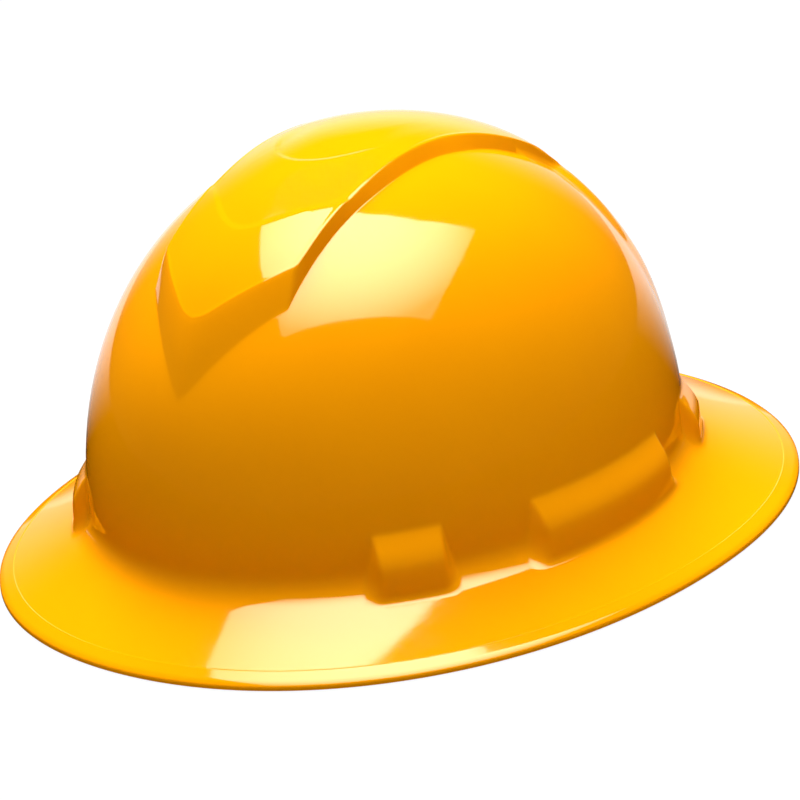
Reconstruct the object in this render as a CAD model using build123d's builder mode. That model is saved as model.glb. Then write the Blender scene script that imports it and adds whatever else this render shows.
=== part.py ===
from build123d import *
import math
import os

# Full brim hard hat with a four point ratchet suspension, in millimetres
# The front faces -Y, the wearer's left side is +X, and the rim lies on Z = 0

os.makedirs("parts", exist_ok=True)

# Dome
dome_half_width = 104.6
dome_half_length = 121.0
dome_height = 125.7
dome_centre_y = -2.65
dome_side_share = 0.656
dome_crown_share = 0.50
wall = 2.4

# Brim
brim_half_width = 140.0
brim_front_length = 167.0
brim_rear_length = 150.0
brim_drop = 18.4
brim_curve_share = 0.5837
brim_sag = 0.7
rim_height = 0.6
edge_band_width = 5.6
edge_band_rise = 3.6
junction_radius = 10.0
skirt_depth = 8.0
overrun = 12.0
wall_match_share = 0.004
edge_sample_shares = (0, 0.25, 0.5, 0.75, 1)

# Raised crown panel and the lower panel behind it
panel_height = 3.3
panel_end_share = 0.47
panel_edge_radius = 1.2
panel_sweep_angle = 22.0
panel_lean_angle = 23.9
panel_tip_share = 0.8744
panel_tip_level_share = 0.503
second_tip_share = 0.545
second_level_share = 0.84
second_sweep_angle = 43.0
second_tip_radius = 15.3
third_tip_share = 0.276
third_level_share = 0.955
third_sweep_angle = 55.6
third_tip_radius = 17.8
step_lean_angle = 45.0
first_step_forward = 1.8
first_step_drop = 2.05
second_step_forward = 2.9
second_step_drop = 1.7
rear_panel_height = 1.4
rear_panel_half_width = 43.0
rear_panel_low_share = 0.45
panel_overlap_share = 0.05

# Stations of the crown panel: place along the dome, level, half width low and half width high
panel_width = 38.0
panel_depth_below = 17.0
panel_depth_above = 10.0
panel_station_shares = [
    (-0.93, 0.56, 0.80, 0.72),
    (-0.64, 0.775, 0.82, 0.69),
    (-0.41, 0.893, 0.99, 0.63),
    (-0.15, 0.962, 1.16, 0.67),
    (0.10, 0.966, 1.16, 0.69),
    (0.30, 0.925, 1.10, 0.74),
    (0.47, 0.850, 1.04, 0.86),
]

# Bosses
boss_proud = 6.7
boss_height = 17.3
boss_shoulder_proud = 5.4
boss_shoulder_drop = 8.0
boss_shoulder_radius = 3.4
boss_end_radius = 2.0
short_boss_length = 24.0
long_boss_length = 71.0
front_boss_angle = 45.1
side_boss_angle = 84.7
rear_boss_angle = 124.0
pocket_gap = 3.8
pocket_height = 8.6
pocket_end_wall = 2.8

# Suspension webbing
strap_width = 19.0
strap_thickness = 1.4
strap_head_room = 34.0
strap_stations = 15
strap_fullness_share = 0.87
strap_cross_gap = 0.9

# Keys that plug into the short bosses
key_clearance = 0.3
blade_play = 0.6
cross_edge_share = 0.9
key_height = 32.0
key_plate_thickness = 2.5
key_foot_thickness = 3.0
key_plate_inset = 12.0
key_width = 24.0
key_bar_height = 4.0
key_slot_gap = 0.4
key_peg_width = 8.0
key_peg_height = 5.0
peg_share = 0.35

# Headband
band_side_radius = 77.0
band_straight = 30.0
band_centre_y = -8.0
band_thickness = 2.0
band_height = 28.0
band_level = 20.5
band_end_angle = 42.0
tab_width = 22.0
tab_height = 18.0
tab_slot_width = 5.0
guide_angle = 10.0
guide_lip = 1.4
fuse_overlap = 0.5

# Pads
pad_thickness = 3.0
pad_gap = 0.3
brow_pad_angle = 72.0
brow_pad_height = 25.0
nape_pad_angle = 21.0
nape_pad_height = 28.0

# Ratchet
layer_gap = 0.3
running_gap = 0.08
rack_thickness = 1.5
rack_height = 22.0
rack_tail_angle = 31.0
rack_front_angle = 68.0
window_margin_angle = 7.0
plate_thickness = 1.8
plate_corner = 6.0
housing_wall = 2.0
housing_angle = 26.0
housing_height = 34.0
disc_radius = 15.6
ring_floor = 1.2
ring_wall = 2.0
ring_depth = 2.6
click_teeth = 24
click_depth = 0.7
spring_collar = 1.6
spring_arm = 1.6
spring_bend_share = 0.8
knob_radius = 17.0
knob_depth = 11.5
knob_wall = 1.8
knob_flutes = 14
flute_radius = 2.6
flute_depth = 0.9
hub_radius = 4.6
shaft_radius = 3.2
square_width = 4.4
axle_radius = 1.2
screw_grip = 3.0
screw_head_radius = 2.8
screw_angle = 20.0
case_screw_radius = 0.9
case_screw_head = 1.9
case_head_depth = 0.9
case_screw_length = 4.5
knob_turn_angle = 260.0
gear_module = 1.5
gear_teeth = 8
tip_share = 0.80
rack_tip_share = 0.65
root_share = 1.15
tooth_share = 0.42
rack_tip_width_share = 0.62
rack_root_width_share = 1.50
gear_root_share = 1.25
gear_pitch_share = 1.00
gear_tip_share = 0.50

# Places that several pieces share
junction_level = brim_drop
brim_shift_y = (brim_front_length - brim_rear_length) / 2
band_level_top = rim_height + edge_band_rise
brim_run = brim_half_width - edge_band_width - dome_half_width
brim_slope = (junction_level - band_level_top) / brim_run
brim_wall = wall * math.hypot(1, brim_slope)
length_ratio = dome_half_length / dome_half_width
boss_low = junction_level - overrun / 2
boss_grip = wall / 2
rear_centre_y = band_centre_y + band_straight / 2
front_centre_y = band_centre_y - band_straight / 2
band_outer_radius = band_side_radius + band_thickness


def dome_solid(grow):
    """The dome, grown all round by a distance."""
    width = dome_half_width + grow
    top = junction_level + dome_height + grow
    low = rim_height
    side_pull = junction_level + dome_side_share * (top - junction_level)
    with BuildPart() as dome:
        with BuildSketch(Plane.XZ):
            with BuildLine():
                Line((0, low), (width, low))
                Line((width, low), (width, junction_level))
                Bezier((width, junction_level), (width, side_pull), (dome_crown_share * width, top), (0, top))
                Line((0, top), (0, low))
            make_face()
        revolve(axis=Axis.Z)
        scale(by=(1, (dome_half_length + grow) / width, 1))
    return Pos(0, dome_centre_y, 0) * dome.part


def brim_face(inset, level):
    """The rim's outline, moved in by a distance, at a level."""
    side = brim_half_width - inset
    front = brim_front_length - inset
    rear = brim_rear_length - inset
    pull = brim_curve_share
    middle = brim_shift_y
    with BuildSketch(Plane.XY.offset(level)) as face:
        with BuildLine():
            Bezier((0, middle - front), (pull * side, middle - front),
                   (side, middle - pull * front), (side, middle))
            Bezier((side, middle), (side, middle + pull * rear),
                   (pull * side, middle + rear), (0, middle + rear))
            Bezier((0, middle + rear), (-pull * side, middle + rear),
                   (-side, middle + pull * rear), (-side, middle))
            Bezier((-side, middle), (-side, middle - pull * front),
                   (-pull * side, middle - front), (0, middle - front))
        make_face()
    return face.sketch


def brim_solid(drop, edge_inset, edge_level):
    """Block whose top is the brim's top, or the brim's underside when dropped by the wall."""
    inner_inset = brim_half_width - dome_half_width + overrun
    low_level = band_level_top - drop
    top_level = low_level + (inner_inset - edge_band_width) * brim_slope
    middle_inset = (inner_inset + edge_band_width) / 2
    middle_level = (low_level + top_level) / 2 - brim_sag
    top_face = brim_face(inner_inset, top_level)
    middle_face = brim_face(middle_inset, middle_level)
    low_face = brim_face(edge_band_width, low_level)
    edge_face = brim_face(edge_inset, edge_level)
    with BuildPart() as brim:
        loft([top_face, middle_face, low_face])
        loft([low_face, edge_face], ruled=True)
        extrude(edge_face, amount=edge_level if edge_level > 0 else overrun, dir=(0, 0, -1))
    return brim.part


def junction_edges(part, grow):
    """Edges where the dome's wall, grown by a distance, meets the brim."""
    found = []
    for edge in part.edges():
        shares = []
        for place_share in edge_sample_shares:
            point = edge.position_at(place_share)
            across = point.X / (dome_half_width + grow)
            along = (point.Y - dome_centre_y) / (dome_half_length + grow)
            shares.append(math.hypot(across, along))
        on_wall = max(abs(share - 1) for share in shares) < wall_match_share
        if on_wall and edge.bounding_box().size.Z < skirt_depth and edge.length > skirt_depth:
            found.append(edge)
    return found


def v_block(tip_share, level_share, sweep_angle, lean_angle, tip_radius, depth):
    """Slanted block whose front is a V in plan, with its tip at a share of the dome's length and height."""
    tip_y = dome_centre_y - tip_share * dome_half_length
    low_level = junction_level + level_share * dome_height - depth
    lean = math.tan(math.radians(lean_angle))
    sweep = math.tan(math.radians(sweep_angle))
    wing = 2 * panel_width
    start_y = tip_y - depth * lean
    with BuildPart() as block:
        with BuildSketch(Plane.XY.offset(low_level)):
            with BuildLine():
                Polyline((0, start_y), (wing, start_y + wing * sweep), (wing, 2 * dome_half_length),
                         (-wing, 2 * dome_half_length), (-wing, start_y + wing * sweep), close=True)
            make_face()
            if tip_radius > 0:
                fillet(vertices().sort_by(Axis.Y)[0], tip_radius)
        extrude(amount=dome_height * math.hypot(1, lean), dir=(0, lean, 1))
    return block.part


def panel_bar():
    """Curved bar over the crown that gives the panel its sides."""
    sections = []
    for place_share, level_share, low_share, high_share in panel_station_shares:
        y = dome_centre_y + place_share * dome_half_length
        level = junction_level + level_share * dome_height
        low = low_share * panel_width
        high = high_share * panel_width
        with BuildSketch(Plane(origin=(0, y, level), x_dir=(1, 0, 0), z_dir=(0, -1, 0))) as section:
            with BuildLine():
                Polyline((-low, -panel_depth_below), (low, -panel_depth_below), (high, panel_depth_above),
                         (-high, panel_depth_above), close=True)
            make_face()
        sections.append(section.sketch)
    with BuildPart() as bar:
        loft(sections)
    return bar.part


def panel_step(front, shift_y, shift_z):
    """One step of the raised panel, level with the panel's height at its front and sinking behind it."""
    cover = Pos(0, -shift_y, -shift_z) * dome_solid(panel_height)
    sides = panel_bar()
    front_block = v_block(*front)
    with BuildPart() as panel:
        add(cover)
        add(sides, mode=Mode.INTERSECT)
        add(front_block, mode=Mode.INTERSECT)
        upward = panel.faces().filter_by(lambda face: face.normal_at(face.center()).Z > 0)
        fillet(upward.sort_by(SortBy.AREA)[-1].edges(), panel_edge_radius)
    return panel.part


def boss_place(angle):
    """Point of the dome's base, and the direction straight out of it."""
    turn = math.radians(angle)
    point = (dome_half_width * math.sin(turn), dome_centre_y - dome_half_length * math.cos(turn))
    out = Vector(math.sin(turn) / dome_half_width, -math.cos(turn) / dome_half_length, 0).normalized()
    return point, out


def belt(points, soften):
    """Band round the dome with a given section, the shape that bosses and pockets are cut from."""
    with BuildPart() as ring:
        with BuildSketch(Plane.YZ):
            with BuildLine():
                Polyline(*points, close=True)
            make_face()
            if soften > 0:
                fillet(vertices().sort_by(Axis.X)[-2:].sort_by(Axis.Y)[-1], soften)
        revolve(axis=Axis.Z)
        scale(by=(1, length_ratio, 1))
    return Pos(0, dome_centre_y, 0) * ring.part


def boss_block(angle, length, depth):
    """Upright block across the belt at a boss."""
    point, out = boss_place(angle)
    base = Plane(origin=(point[0], point[1], 0), x_dir=out, z_dir=(0, 0, 1))
    with BuildPart() as block:
        with BuildSketch(base):
            Rectangle(depth, length)
        extrude(amount=dome_height)
    return block.part


def boss_end_edges(part, length, out, point):
    """Edges round the two ends of a boss, without those inside the wall."""
    found = []
    for edge in part.edges():
        middle = edge.center(CenterOf.BOUNDING_BOX)
        along = abs((middle - Vector(point[0], point[1], middle.Z)).cross(out).Z)
        at_end = abs(along - length / 2) < boss_grip
        outside = edge.bounding_box().size.Z < boss_height and middle.Z > boss_low + boss_grip
        if at_end and outside:
            found.append(edge)
    return found


def boss_solid(angle, length):
    """One boss, rounded at its shoulder and its ends."""
    point, out = boss_place(angle)
    with BuildPart() as boss:
        add(boss_belt)
        add(boss_block(angle, length, 4 * overrun), mode=Mode.INTERSECT)
        fillet(boss_end_edges(boss.part, length, out, point), boss_end_radius)
    return boss.part


def pocket_solid(angle, length):
    """The pocket inside a boss, open below."""
    with BuildPart() as pocket:
        add(pocket_belt)
        add(boss_block(angle, length - 2 * pocket_end_wall, 4 * overrun), mode=Mode.INTERSECT)
    return pocket.part


bosses = []
for side in (1, -1):
    bosses.append((side * front_boss_angle, short_boss_length))
    bosses.append((side * side_boss_angle, long_boss_length))
    bosses.append((side * rear_boss_angle, short_boss_length))

boss_top = junction_level + boss_height
boss_lean = (boss_shoulder_drop / boss_shoulder_proud) * boss_grip
boss_section = [
    (dome_half_width - boss_grip, boss_low),
    (dome_half_width + boss_proud, boss_low),
    (dome_half_width + boss_shoulder_proud, boss_top - boss_shoulder_drop),
    (dome_half_width - boss_grip, boss_top + boss_lean),
]
pocket_section = [
    (dome_half_width, 0),
    (dome_half_width + pocket_gap, 0),
    (dome_half_width + pocket_gap, junction_level + pocket_height),
    (dome_half_width, junction_level + pocket_height),
]
boss_belt = belt(boss_section, boss_shoulder_radius)
pocket_belt = belt(pocket_section, 0)

front_v = (panel_tip_share, panel_tip_level_share, panel_sweep_angle,
           panel_lean_angle, 0, overrun)
second_v = (second_tip_share, second_level_share, second_sweep_angle,
            step_lean_angle, second_tip_radius, 2 * overrun)
third_v = (third_tip_share, third_level_share, third_sweep_angle,
           step_lean_angle, third_tip_radius, 2 * overrun)
panels = [
    panel_step(front_v, first_step_forward, first_step_drop),
    panel_step(second_v, second_step_forward, second_step_drop),
    panel_step(third_v, 0, 0),
]
boss_parts = [boss_solid(angle, length) for angle, length in bosses]
pocket_parts = [pocket_solid(angle, length) for angle, length in bosses]

rear_panel_low = junction_level + rear_panel_low_share * dome_height
rear_panel_front = dome_centre_y + (panel_end_share - panel_overlap_share) * dome_half_length
with BuildPart() as rear_panel:
    add(dome_solid(rear_panel_height))
    with BuildSketch(Plane.XY.offset(rear_panel_low)):
        with Locations((0, rear_panel_front)):
            Rectangle(2 * rear_panel_half_width, dome_half_length, align=(Align.CENTER, Align.MIN))
    extrude(amount=dome_height, mode=Mode.INTERSECT)

# Shell
with BuildPart() as void:
    add(dome_solid(-wall))
    add(brim_solid(brim_wall, wall, 0))
    fillet(junction_edges(void.part, -wall), junction_radius + wall)

with BuildPart() as shell:
    add(dome_solid(0))
    add(brim_solid(0, 0, rim_height))
    fillet(junction_edges(shell.part, 0), junction_radius)
    for panel in panels:
        add(panel)
    add(rear_panel)
    for boss in boss_parts:
        add(boss)
    add(void, mode=Mode.SUBTRACT)
    for pocket in pocket_parts:
        add(pocket, mode=Mode.SUBTRACT)
shell.part.label = "shell"
export_step(shell.part, "parts/shell.step")


def arc_face(centre_y, inner, outer, start, end):
    """Ring sector in plan, with angles from the rear towards the wearer's left."""
    with BuildSketch() as sector:
        with BuildLine():
            low = CenterArc((0, centre_y), inner, 90 - end, end - start)
            high = CenterArc((0, centre_y), outer, 90 - end, end - start)
            Line(low @ 0, high @ 0)
            Line(low @ 1, high @ 1)
        make_face()
    return sector.sketch


def radial_plane(centre_y, angle, distance, level):
    """Plane square to a radius, at an angle from the rear, with its X along the arc."""
    turn = math.radians(angle)
    out = Vector(math.sin(turn), math.cos(turn), 0)
    origin = Vector(0, centre_y, level) + out * distance
    return Plane(origin=origin, x_dir=(math.cos(turn), -math.sin(turn), 0), z_dir=out)


# Keys
key_low = junction_level - pocket_height - key_foot_thickness / 2
key_top = junction_level + key_height
key_blade_in = key_clearance + running_gap
blade_width = short_boss_length - 2 * pocket_end_wall - 2 * key_clearance
loop_space = strap_thickness + 2 * key_slot_gap
tab_level = band_level + band_height / 2
peg_level = tab_level + peg_share * tab_height
tab_peg_slot = 2 * key_peg_height


def key_frame(angle):
    """Plane through a key's middle: X straight out of the dome, Y up."""
    point, out = boss_place(angle)
    return Plane(origin=(point[0], point[1], 0), x_dir=out, z_dir=(out.Y, -out.X, 0))


def band_centre(angle):
    """Centre of the headband's arc beside a key."""
    return front_centre_y if abs(angle) < 90 else rear_centre_y


def peg_reach(angle):
    """Distance from a key's plate to the outside of the headband."""
    point, out = boss_place(angle)
    face = Vector(point[0], point[1], 0) - out * key_plate_inset
    return (face - Vector(0, band_centre(angle), 0)).length - band_outer_radius


def key_solid(angle):
    """Key: a blade for the boss, a foot, a plate with a webbing bar, and a peg for the headband."""
    frame = key_frame(angle)
    plate_in = -key_plate_inset
    plate_out = plate_in + key_plate_thickness
    blade_out = pocket_gap - key_clearance - blade_play
    foot_top = key_low + key_foot_thickness
    slot_top = key_top - key_bar_height
    blade_top = junction_level + pocket_height - 2 * key_clearance
    peg_end = plate_in - peg_reach(angle) + key_clearance
    neck_end = plate_in - peg_reach(angle) - band_thickness - 2 * key_clearance
    peg_half = key_peg_height / 2
    neck_half = key_peg_height / 4
    with BuildPart() as key:
        with BuildSketch(frame):
            with BuildLine():
                Polyline((plate_in, key_low), (blade_out, key_low), (blade_out, foot_top),
                         (plate_in, foot_top), close=True)
            make_face()
        extrude(amount=blade_width / 2, both=True)
        with BuildSketch(frame):
            with BuildLine():
                Polyline((key_blade_in, key_low), (blade_out, key_low), (blade_out, blade_top),
                         (key_blade_in, blade_top), close=True)
            make_face()
        extrude(amount=blade_width / 2, both=True)
        with BuildSketch(frame):
            with BuildLine():
                Polyline((plate_in, key_low), (plate_out, key_low), (plate_out, key_top),
                         (plate_in, key_top), close=True)
            make_face()
        extrude(amount=key_width / 2, both=True)
        top_edges = key.edges().filter_by(lambda edge: edge.center().Z > key_top - key_clearance)
        outward = frame.x_dir
        corners = top_edges.filter_by(lambda edge: abs(edge.tangent_at(0).dot(outward)) > cross_edge_share)
        fillet(corners, key_plate_thickness)
        with BuildSketch(frame):
            with Locations(((plate_in + plate_out) / 2, slot_top - loop_space / 2)):
                Rectangle(2 * key_plate_thickness, loop_space)
        extrude(amount=strap_width / 2 + key_slot_gap, both=True, mode=Mode.SUBTRACT)
        with BuildSketch(frame):
            with BuildLine():
                Polyline((plate_in, peg_level - peg_half), (peg_end, peg_level - peg_half),
                         (peg_end, peg_level + peg_half), (plate_in, peg_level + peg_half), close=True)
            make_face()
        extrude(amount=key_peg_width / 2, both=True)
        with BuildSketch(frame):
            with BuildLine():
                Polyline((peg_end, peg_level - neck_half), (neck_end, peg_level - neck_half),
                         (neck_end, peg_level + neck_half), (peg_end, peg_level + neck_half), close=True)
            make_face()
        extrude(amount=tab_slot_width / 2 - 3 * key_clearance, both=True)
        with BuildSketch(frame):
            with Locations((neck_end, peg_level)):
                Rectangle(band_thickness / 2, key_peg_height, align=(Align.MAX, Align.CENTER))
        extrude(amount=key_peg_width / 2, both=True)
    return key.part


key_angles = {
    "key_front_left": front_boss_angle,
    "key_front_right": -front_boss_angle,
    "key_rear_left": rear_boss_angle,
    "key_rear_right": -rear_boss_angle,
}
for name, angle in key_angles.items():
    key = key_solid(angle)
    key.label = name
    export_step(key, f"parts/{name}.step")

# Crown straps
strap_start = key_top + key_slot_gap + strap_thickness
strap_apex = junction_level + dome_height - wall - strap_head_room


def strap_loop(angle):
    """Sewn loop of webbing round a key's bar."""
    middle = key_plate_thickness / 2 - key_plate_inset
    bar_middle = key_top - key_bar_height / 2
    hole = (key_plate_thickness + 2 * key_slot_gap, key_bar_height + 2 * key_slot_gap)
    with BuildPart() as loop:
        with BuildSketch(key_frame(angle)):
            with Locations((middle, bar_middle)):
                Rectangle(hole[0] + 2 * strap_thickness, hole[1] + 2 * strap_thickness)
                fillet(vertices(), strap_thickness)
            with Locations((middle, bar_middle)):
                Rectangle(*hole, mode=Mode.SUBTRACT)
        extrude(amount=strap_width / 2, both=True)
    return loop.part


def strap_solid(front_angle, rear_angle, lift):
    """One strap, from a front key over the head to the rear key on the other side."""
    ends = []
    across = []
    for angle in (front_angle, rear_angle):
        point, out = boss_place(angle)
        ends.append(Vector(point[0], point[1], 0) - out * (key_plate_inset - key_plate_thickness / 2))
        across.append(Vector(out.Y, -out.X, 0))
    run = ends[1] - ends[0]
    square = Vector(-run.Y, run.X, 0).normalized()
    across = [side if side.dot(square) > 0 else -side for side in across]
    rise = strap_apex + lift - strap_start
    middle = (ends[0] + ends[1]) * 0.5
    sections = []
    for index in range(strap_stations):
        turn = math.pi * index / (strap_stations - 1)
        reach_share = -math.copysign(abs(math.cos(turn)) ** strap_fullness_share, math.cos(turn))
        climb_share = math.sin(turn) ** strap_fullness_share
        sections.append((reach_share, climb_share))
    faces = []
    for index, (reach_share, climb_share) in enumerate(sections):
        before = sections[max(index - 1, 0)]
        after = sections[min(index + 1, strap_stations - 1)]
        place = middle + run * (reach_share / 2) + Vector(0, 0, strap_start + rise * climb_share)
        along = run * ((after[0] - before[0]) / 2) + Vector(0, 0, rise * (after[1] - before[1]))
        if index == 0:
            along = Vector(0, 0, 1)
        if index == strap_stations - 1:
            along = Vector(0, 0, -1)
        near = 0 if reach_share < 0 else 1
        twist_share = abs(reach_share) ** 4
        side = across[near] * twist_share + square * (1 - twist_share)
        with BuildSketch(Plane(origin=place, x_dir=side, z_dir=along)) as section:
            Rectangle(strap_width, strap_thickness)
        faces.append(section.sketch)
    with BuildPart() as strap:
        loft(faces)
        add(strap_loop(front_angle))
        add(strap_loop(rear_angle))
    return strap.part


strap_left = strap_solid(front_boss_angle, -rear_boss_angle, 0)
strap_right = strap_solid(-front_boss_angle, rear_boss_angle, strap_thickness + strap_cross_gap)
for name, strap in (("strap_from_front_left", strap_left), ("strap_from_front_right", strap_right)):
    strap.label = name
    export_step(strap, f"parts/{name}.step")

# Headband
band_low = band_level - band_height / 2
left_rack_radius = band_outer_radius + layer_gap
right_rack_radius = left_rack_radius + rack_thickness + layer_gap
housing_inner_radius = right_rack_radius + rack_thickness + layer_gap
flange_level = rack_height / 2 + layer_gap


def tab_angle(angle):
    """Angle on the headband's arc where a key's peg meets it."""
    point, out = boss_place(angle)
    reach = key_plate_inset + peg_reach(angle)
    hit = Vector(point[0], point[1], 0) - out * reach - Vector(0, band_centre(angle), 0)
    return math.degrees(math.atan2(hit.X, hit.Y))


def band_outline(inner, outer):
    """Closed ring of the headband in plan."""
    with Locations((0, band_centre_y)):
        SlotOverall(band_straight + 2 * outer, 2 * outer, rotation=90)
        SlotOverall(band_straight + 2 * inner, 2 * inner, rotation=90, mode=Mode.SUBTRACT)


rear_sector = arc_face(rear_centre_y, band_side_radius / 2, 2 * band_outer_radius,
                       -band_end_angle, band_end_angle)
with BuildPart() as headband:
    with BuildSketch(Plane.XY.offset(band_low)):
        band_outline(band_side_radius, band_outer_radius)
        add(rear_sector, mode=Mode.SUBTRACT)
    extrude(amount=band_height + tab_height)
    with BuildSketch(Plane.XY.offset(tab_level)):
        Rectangle(4 * band_outer_radius, 4 * band_outer_radius)
        for angle in key_angles.values():
            with Locations((0, band_centre(angle))):
                Rectangle(tab_width, 2 * band_outer_radius, rotation=-tab_angle(angle),
                          align=(Align.CENTER, Align.MIN), mode=Mode.SUBTRACT)
    extrude(amount=tab_height, mode=Mode.SUBTRACT)
    for side in (1, -1):
        edge_angles = sorted((side * band_end_angle, side * (band_end_angle + guide_angle)))
        for up in (1, -1):
            flange_low = band_level + min(up * flange_level, up * (flange_level + band_thickness))
            with BuildSketch(Plane.XY.offset(flange_low)):
                add(arc_face(rear_centre_y, band_outer_radius - fuse_overlap,
                             housing_inner_radius + guide_lip, *edge_angles))
            extrude(amount=band_thickness)
            lip_low = band_level + min(up * (flange_level - guide_lip), up * flange_level)
            with BuildSketch(Plane.XY.offset(lip_low)):
                add(arc_face(rear_centre_y, housing_inner_radius, housing_inner_radius + guide_lip,
                             *edge_angles))
            extrude(amount=guide_lip)
    for angle in key_angles.values():
        slot_start = band_side_radius - band_thickness
        with BuildSketch(radial_plane(band_centre(angle), tab_angle(angle), slot_start, peg_level)):
            RectangleRounded(tab_slot_width, tab_peg_slot, tab_slot_width / 3)
        extrude(amount=3 * band_thickness, mode=Mode.SUBTRACT)
    tab_top = tab_level + tab_height - band_thickness / 4
    top_edges = headband.edges().filter_by(lambda edge: edge.center().Z > tab_top)
    fillet(top_edges.filter_by(lambda edge: edge.length < 1.5 * band_thickness), tab_height / 3)
headband.part.label = "headband"
export_step(headband.part, "parts/headband.step")

# Pads
pad_outer_radius = band_side_radius - pad_gap
with BuildPart() as brow_pad:
    with BuildSketch(Plane.XY.offset(band_level - brow_pad_height / 2)):
        add(arc_face(front_centre_y, pad_outer_radius - pad_thickness, pad_outer_radius,
                     180 - brow_pad_angle, 180 + brow_pad_angle))
    extrude(amount=brow_pad_height)
    fillet(brow_pad.edges().filter_by(lambda edge: edge.length > pad_thickness + pad_gap), pad_thickness / 3)
brow_pad.part.label = "brow_pad"
export_step(brow_pad.part, "parts/brow_pad.step")

with BuildPart() as nape_pad:
    with BuildSketch(Plane.XY.offset(band_level - nape_pad_height / 2)):
        add(arc_face(rear_centre_y, pad_outer_radius - pad_thickness, pad_outer_radius,
                     -nape_pad_angle, nape_pad_angle))
    extrude(amount=nape_pad_height)
    fillet(nape_pad.edges().filter_by(lambda edge: edge.length > pad_thickness + pad_gap), pad_thickness / 3)
nape_pad.part.label = "nape_pad"
export_step(nape_pad.part, "parts/nape_pad.step")

# Racks
pitch_radius = gear_module * gear_teeth / 2
pitch = math.pi * gear_module
tooth_tip_reach = gear_module * tip_share
rack_tip_reach = gear_module * rack_tip_share
root_reach = gear_module * root_share
tooth_width = pitch * tooth_share
gear_tip_radius = pitch_radius + tooth_tip_reach
window_clear = gear_tip_radius + layer_gap


def rack_solid(inner, side, toothed):
    """Arc of band with a window, toothed along one of its long edges."""
    outer = inner + rack_thickness
    step = math.degrees(pitch / (inner + rack_thickness / 2))
    reach = turn_limit_angle + window_margin_angle
    ends = sorted((-side * rack_tail_angle, side * rack_front_angle))
    tooth_low = toothed * (pitch_radius - rack_tip_reach)
    window = sorted((band_level - toothed * window_clear, band_level + tooth_low))
    with BuildPart() as rack:
        with BuildSketch(Plane.XY.offset(band_level - rack_height / 2)):
            add(arc_face(rear_centre_y, inner, outer, *ends))
        extrude(amount=rack_height)
        with BuildSketch(Plane.XY.offset(window[0])):
            add(arc_face(rear_centre_y, inner - layer_gap, outer + layer_gap, -reach, reach))
        extrude(amount=window[1] - window[0], mode=Mode.SUBTRACT)
        count = int(reach / step)
        for index in range(-count, count + 1):
            plane = radial_plane(rear_centre_y, index * step, inner - layer_gap, band_level)
            tip_half = (pitch - tooth_width * rack_tip_width_share) / 2
            root_half = (pitch - tooth_width * rack_root_width_share) / 2
            shallow = plane.y_dir.Z * toothed * (pitch_radius - rack_tip_reach - fuse_overlap)
            deep = plane.y_dir.Z * toothed * (pitch_radius + root_reach)
            with BuildSketch(plane):
                with BuildLine():
                    Polyline((-tip_half, shallow), (tip_half, shallow), (root_half, deep), (-root_half, deep),
                             close=True)
                make_face()
            extrude(amount=rack_thickness + 2 * layer_gap, mode=Mode.SUBTRACT)
    return rack.part


turn_limit_angle = knob_turn_angle * pitch_radius / (left_rack_radius + rack_thickness / 2)
rack_plans = (("rack_left", left_rack_radius, 1, -1), ("rack_right", right_rack_radius, -1, 1))
for name, inner, side, toothed in rack_plans:
    rack = rack_solid(inner, side, toothed)
    rack.label = name
    export_step(rack, f"parts/{name}.step")

# Ratchet plate and housing
plate_inner_radius = band_outer_radius - plate_thickness
housing_outer_radius = housing_inner_radius + housing_wall
disc_floor = housing_outer_radius + ring_floor
disc_face = disc_floor + ring_depth
rail_height = housing_height / 2 - flange_level
screw_level = housing_height / 2 - rail_height / 2
screw_places = [(across * screw_angle, up * screw_level) for across in (-1, 1) for up in (-1, 1)]
plate_cut_start = plate_inner_radius - plate_thickness


def shaft_plane(distance):
    """Upright plane across the knob's axis, at a distance behind the nape's centre."""
    return Plane(origin=(0, rear_centre_y + distance, band_level), x_dir=(1, 0, 0), z_dir=(0, 1, 0))


def corner_edges(part, depth):
    """Short level edges through a curved plate, at its corners."""
    level_edges = part.edges().filter_by(lambda edge: edge.bounding_box().size.Z < depth / 4)
    return level_edges.filter_by(lambda edge: abs(edge.length - depth) < depth / 4)


with BuildPart() as back_plate:
    with BuildSketch(Plane.XY.offset(band_level - housing_height / 2)):
        add(arc_face(rear_centre_y, plate_inner_radius, band_outer_radius, -housing_angle, housing_angle))
    extrude(amount=housing_height)
    fillet(corner_edges(back_plate, plate_thickness), plate_corner)
    with BuildSketch(shaft_plane(plate_cut_start)):
        Circle(screw_head_radius + layer_gap)
    extrude(amount=3 * plate_thickness, mode=Mode.SUBTRACT)
    for angle, level in screw_places:
        with BuildSketch(radial_plane(rear_centre_y, angle, plate_cut_start, band_level + level)):
            Circle(case_screw_radius + running_gap)
        extrude(amount=3 * plate_thickness, mode=Mode.SUBTRACT)
        with BuildSketch(radial_plane(rear_centre_y, angle, plate_cut_start, band_level + level)):
            Circle(case_screw_head + running_gap)
        extrude(amount=plate_thickness + case_head_depth, mode=Mode.SUBTRACT)
back_plate.part.label = "ratchet_back_plate"
export_step(back_plate.part, "parts/ratchet_back_plate.step")

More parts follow.
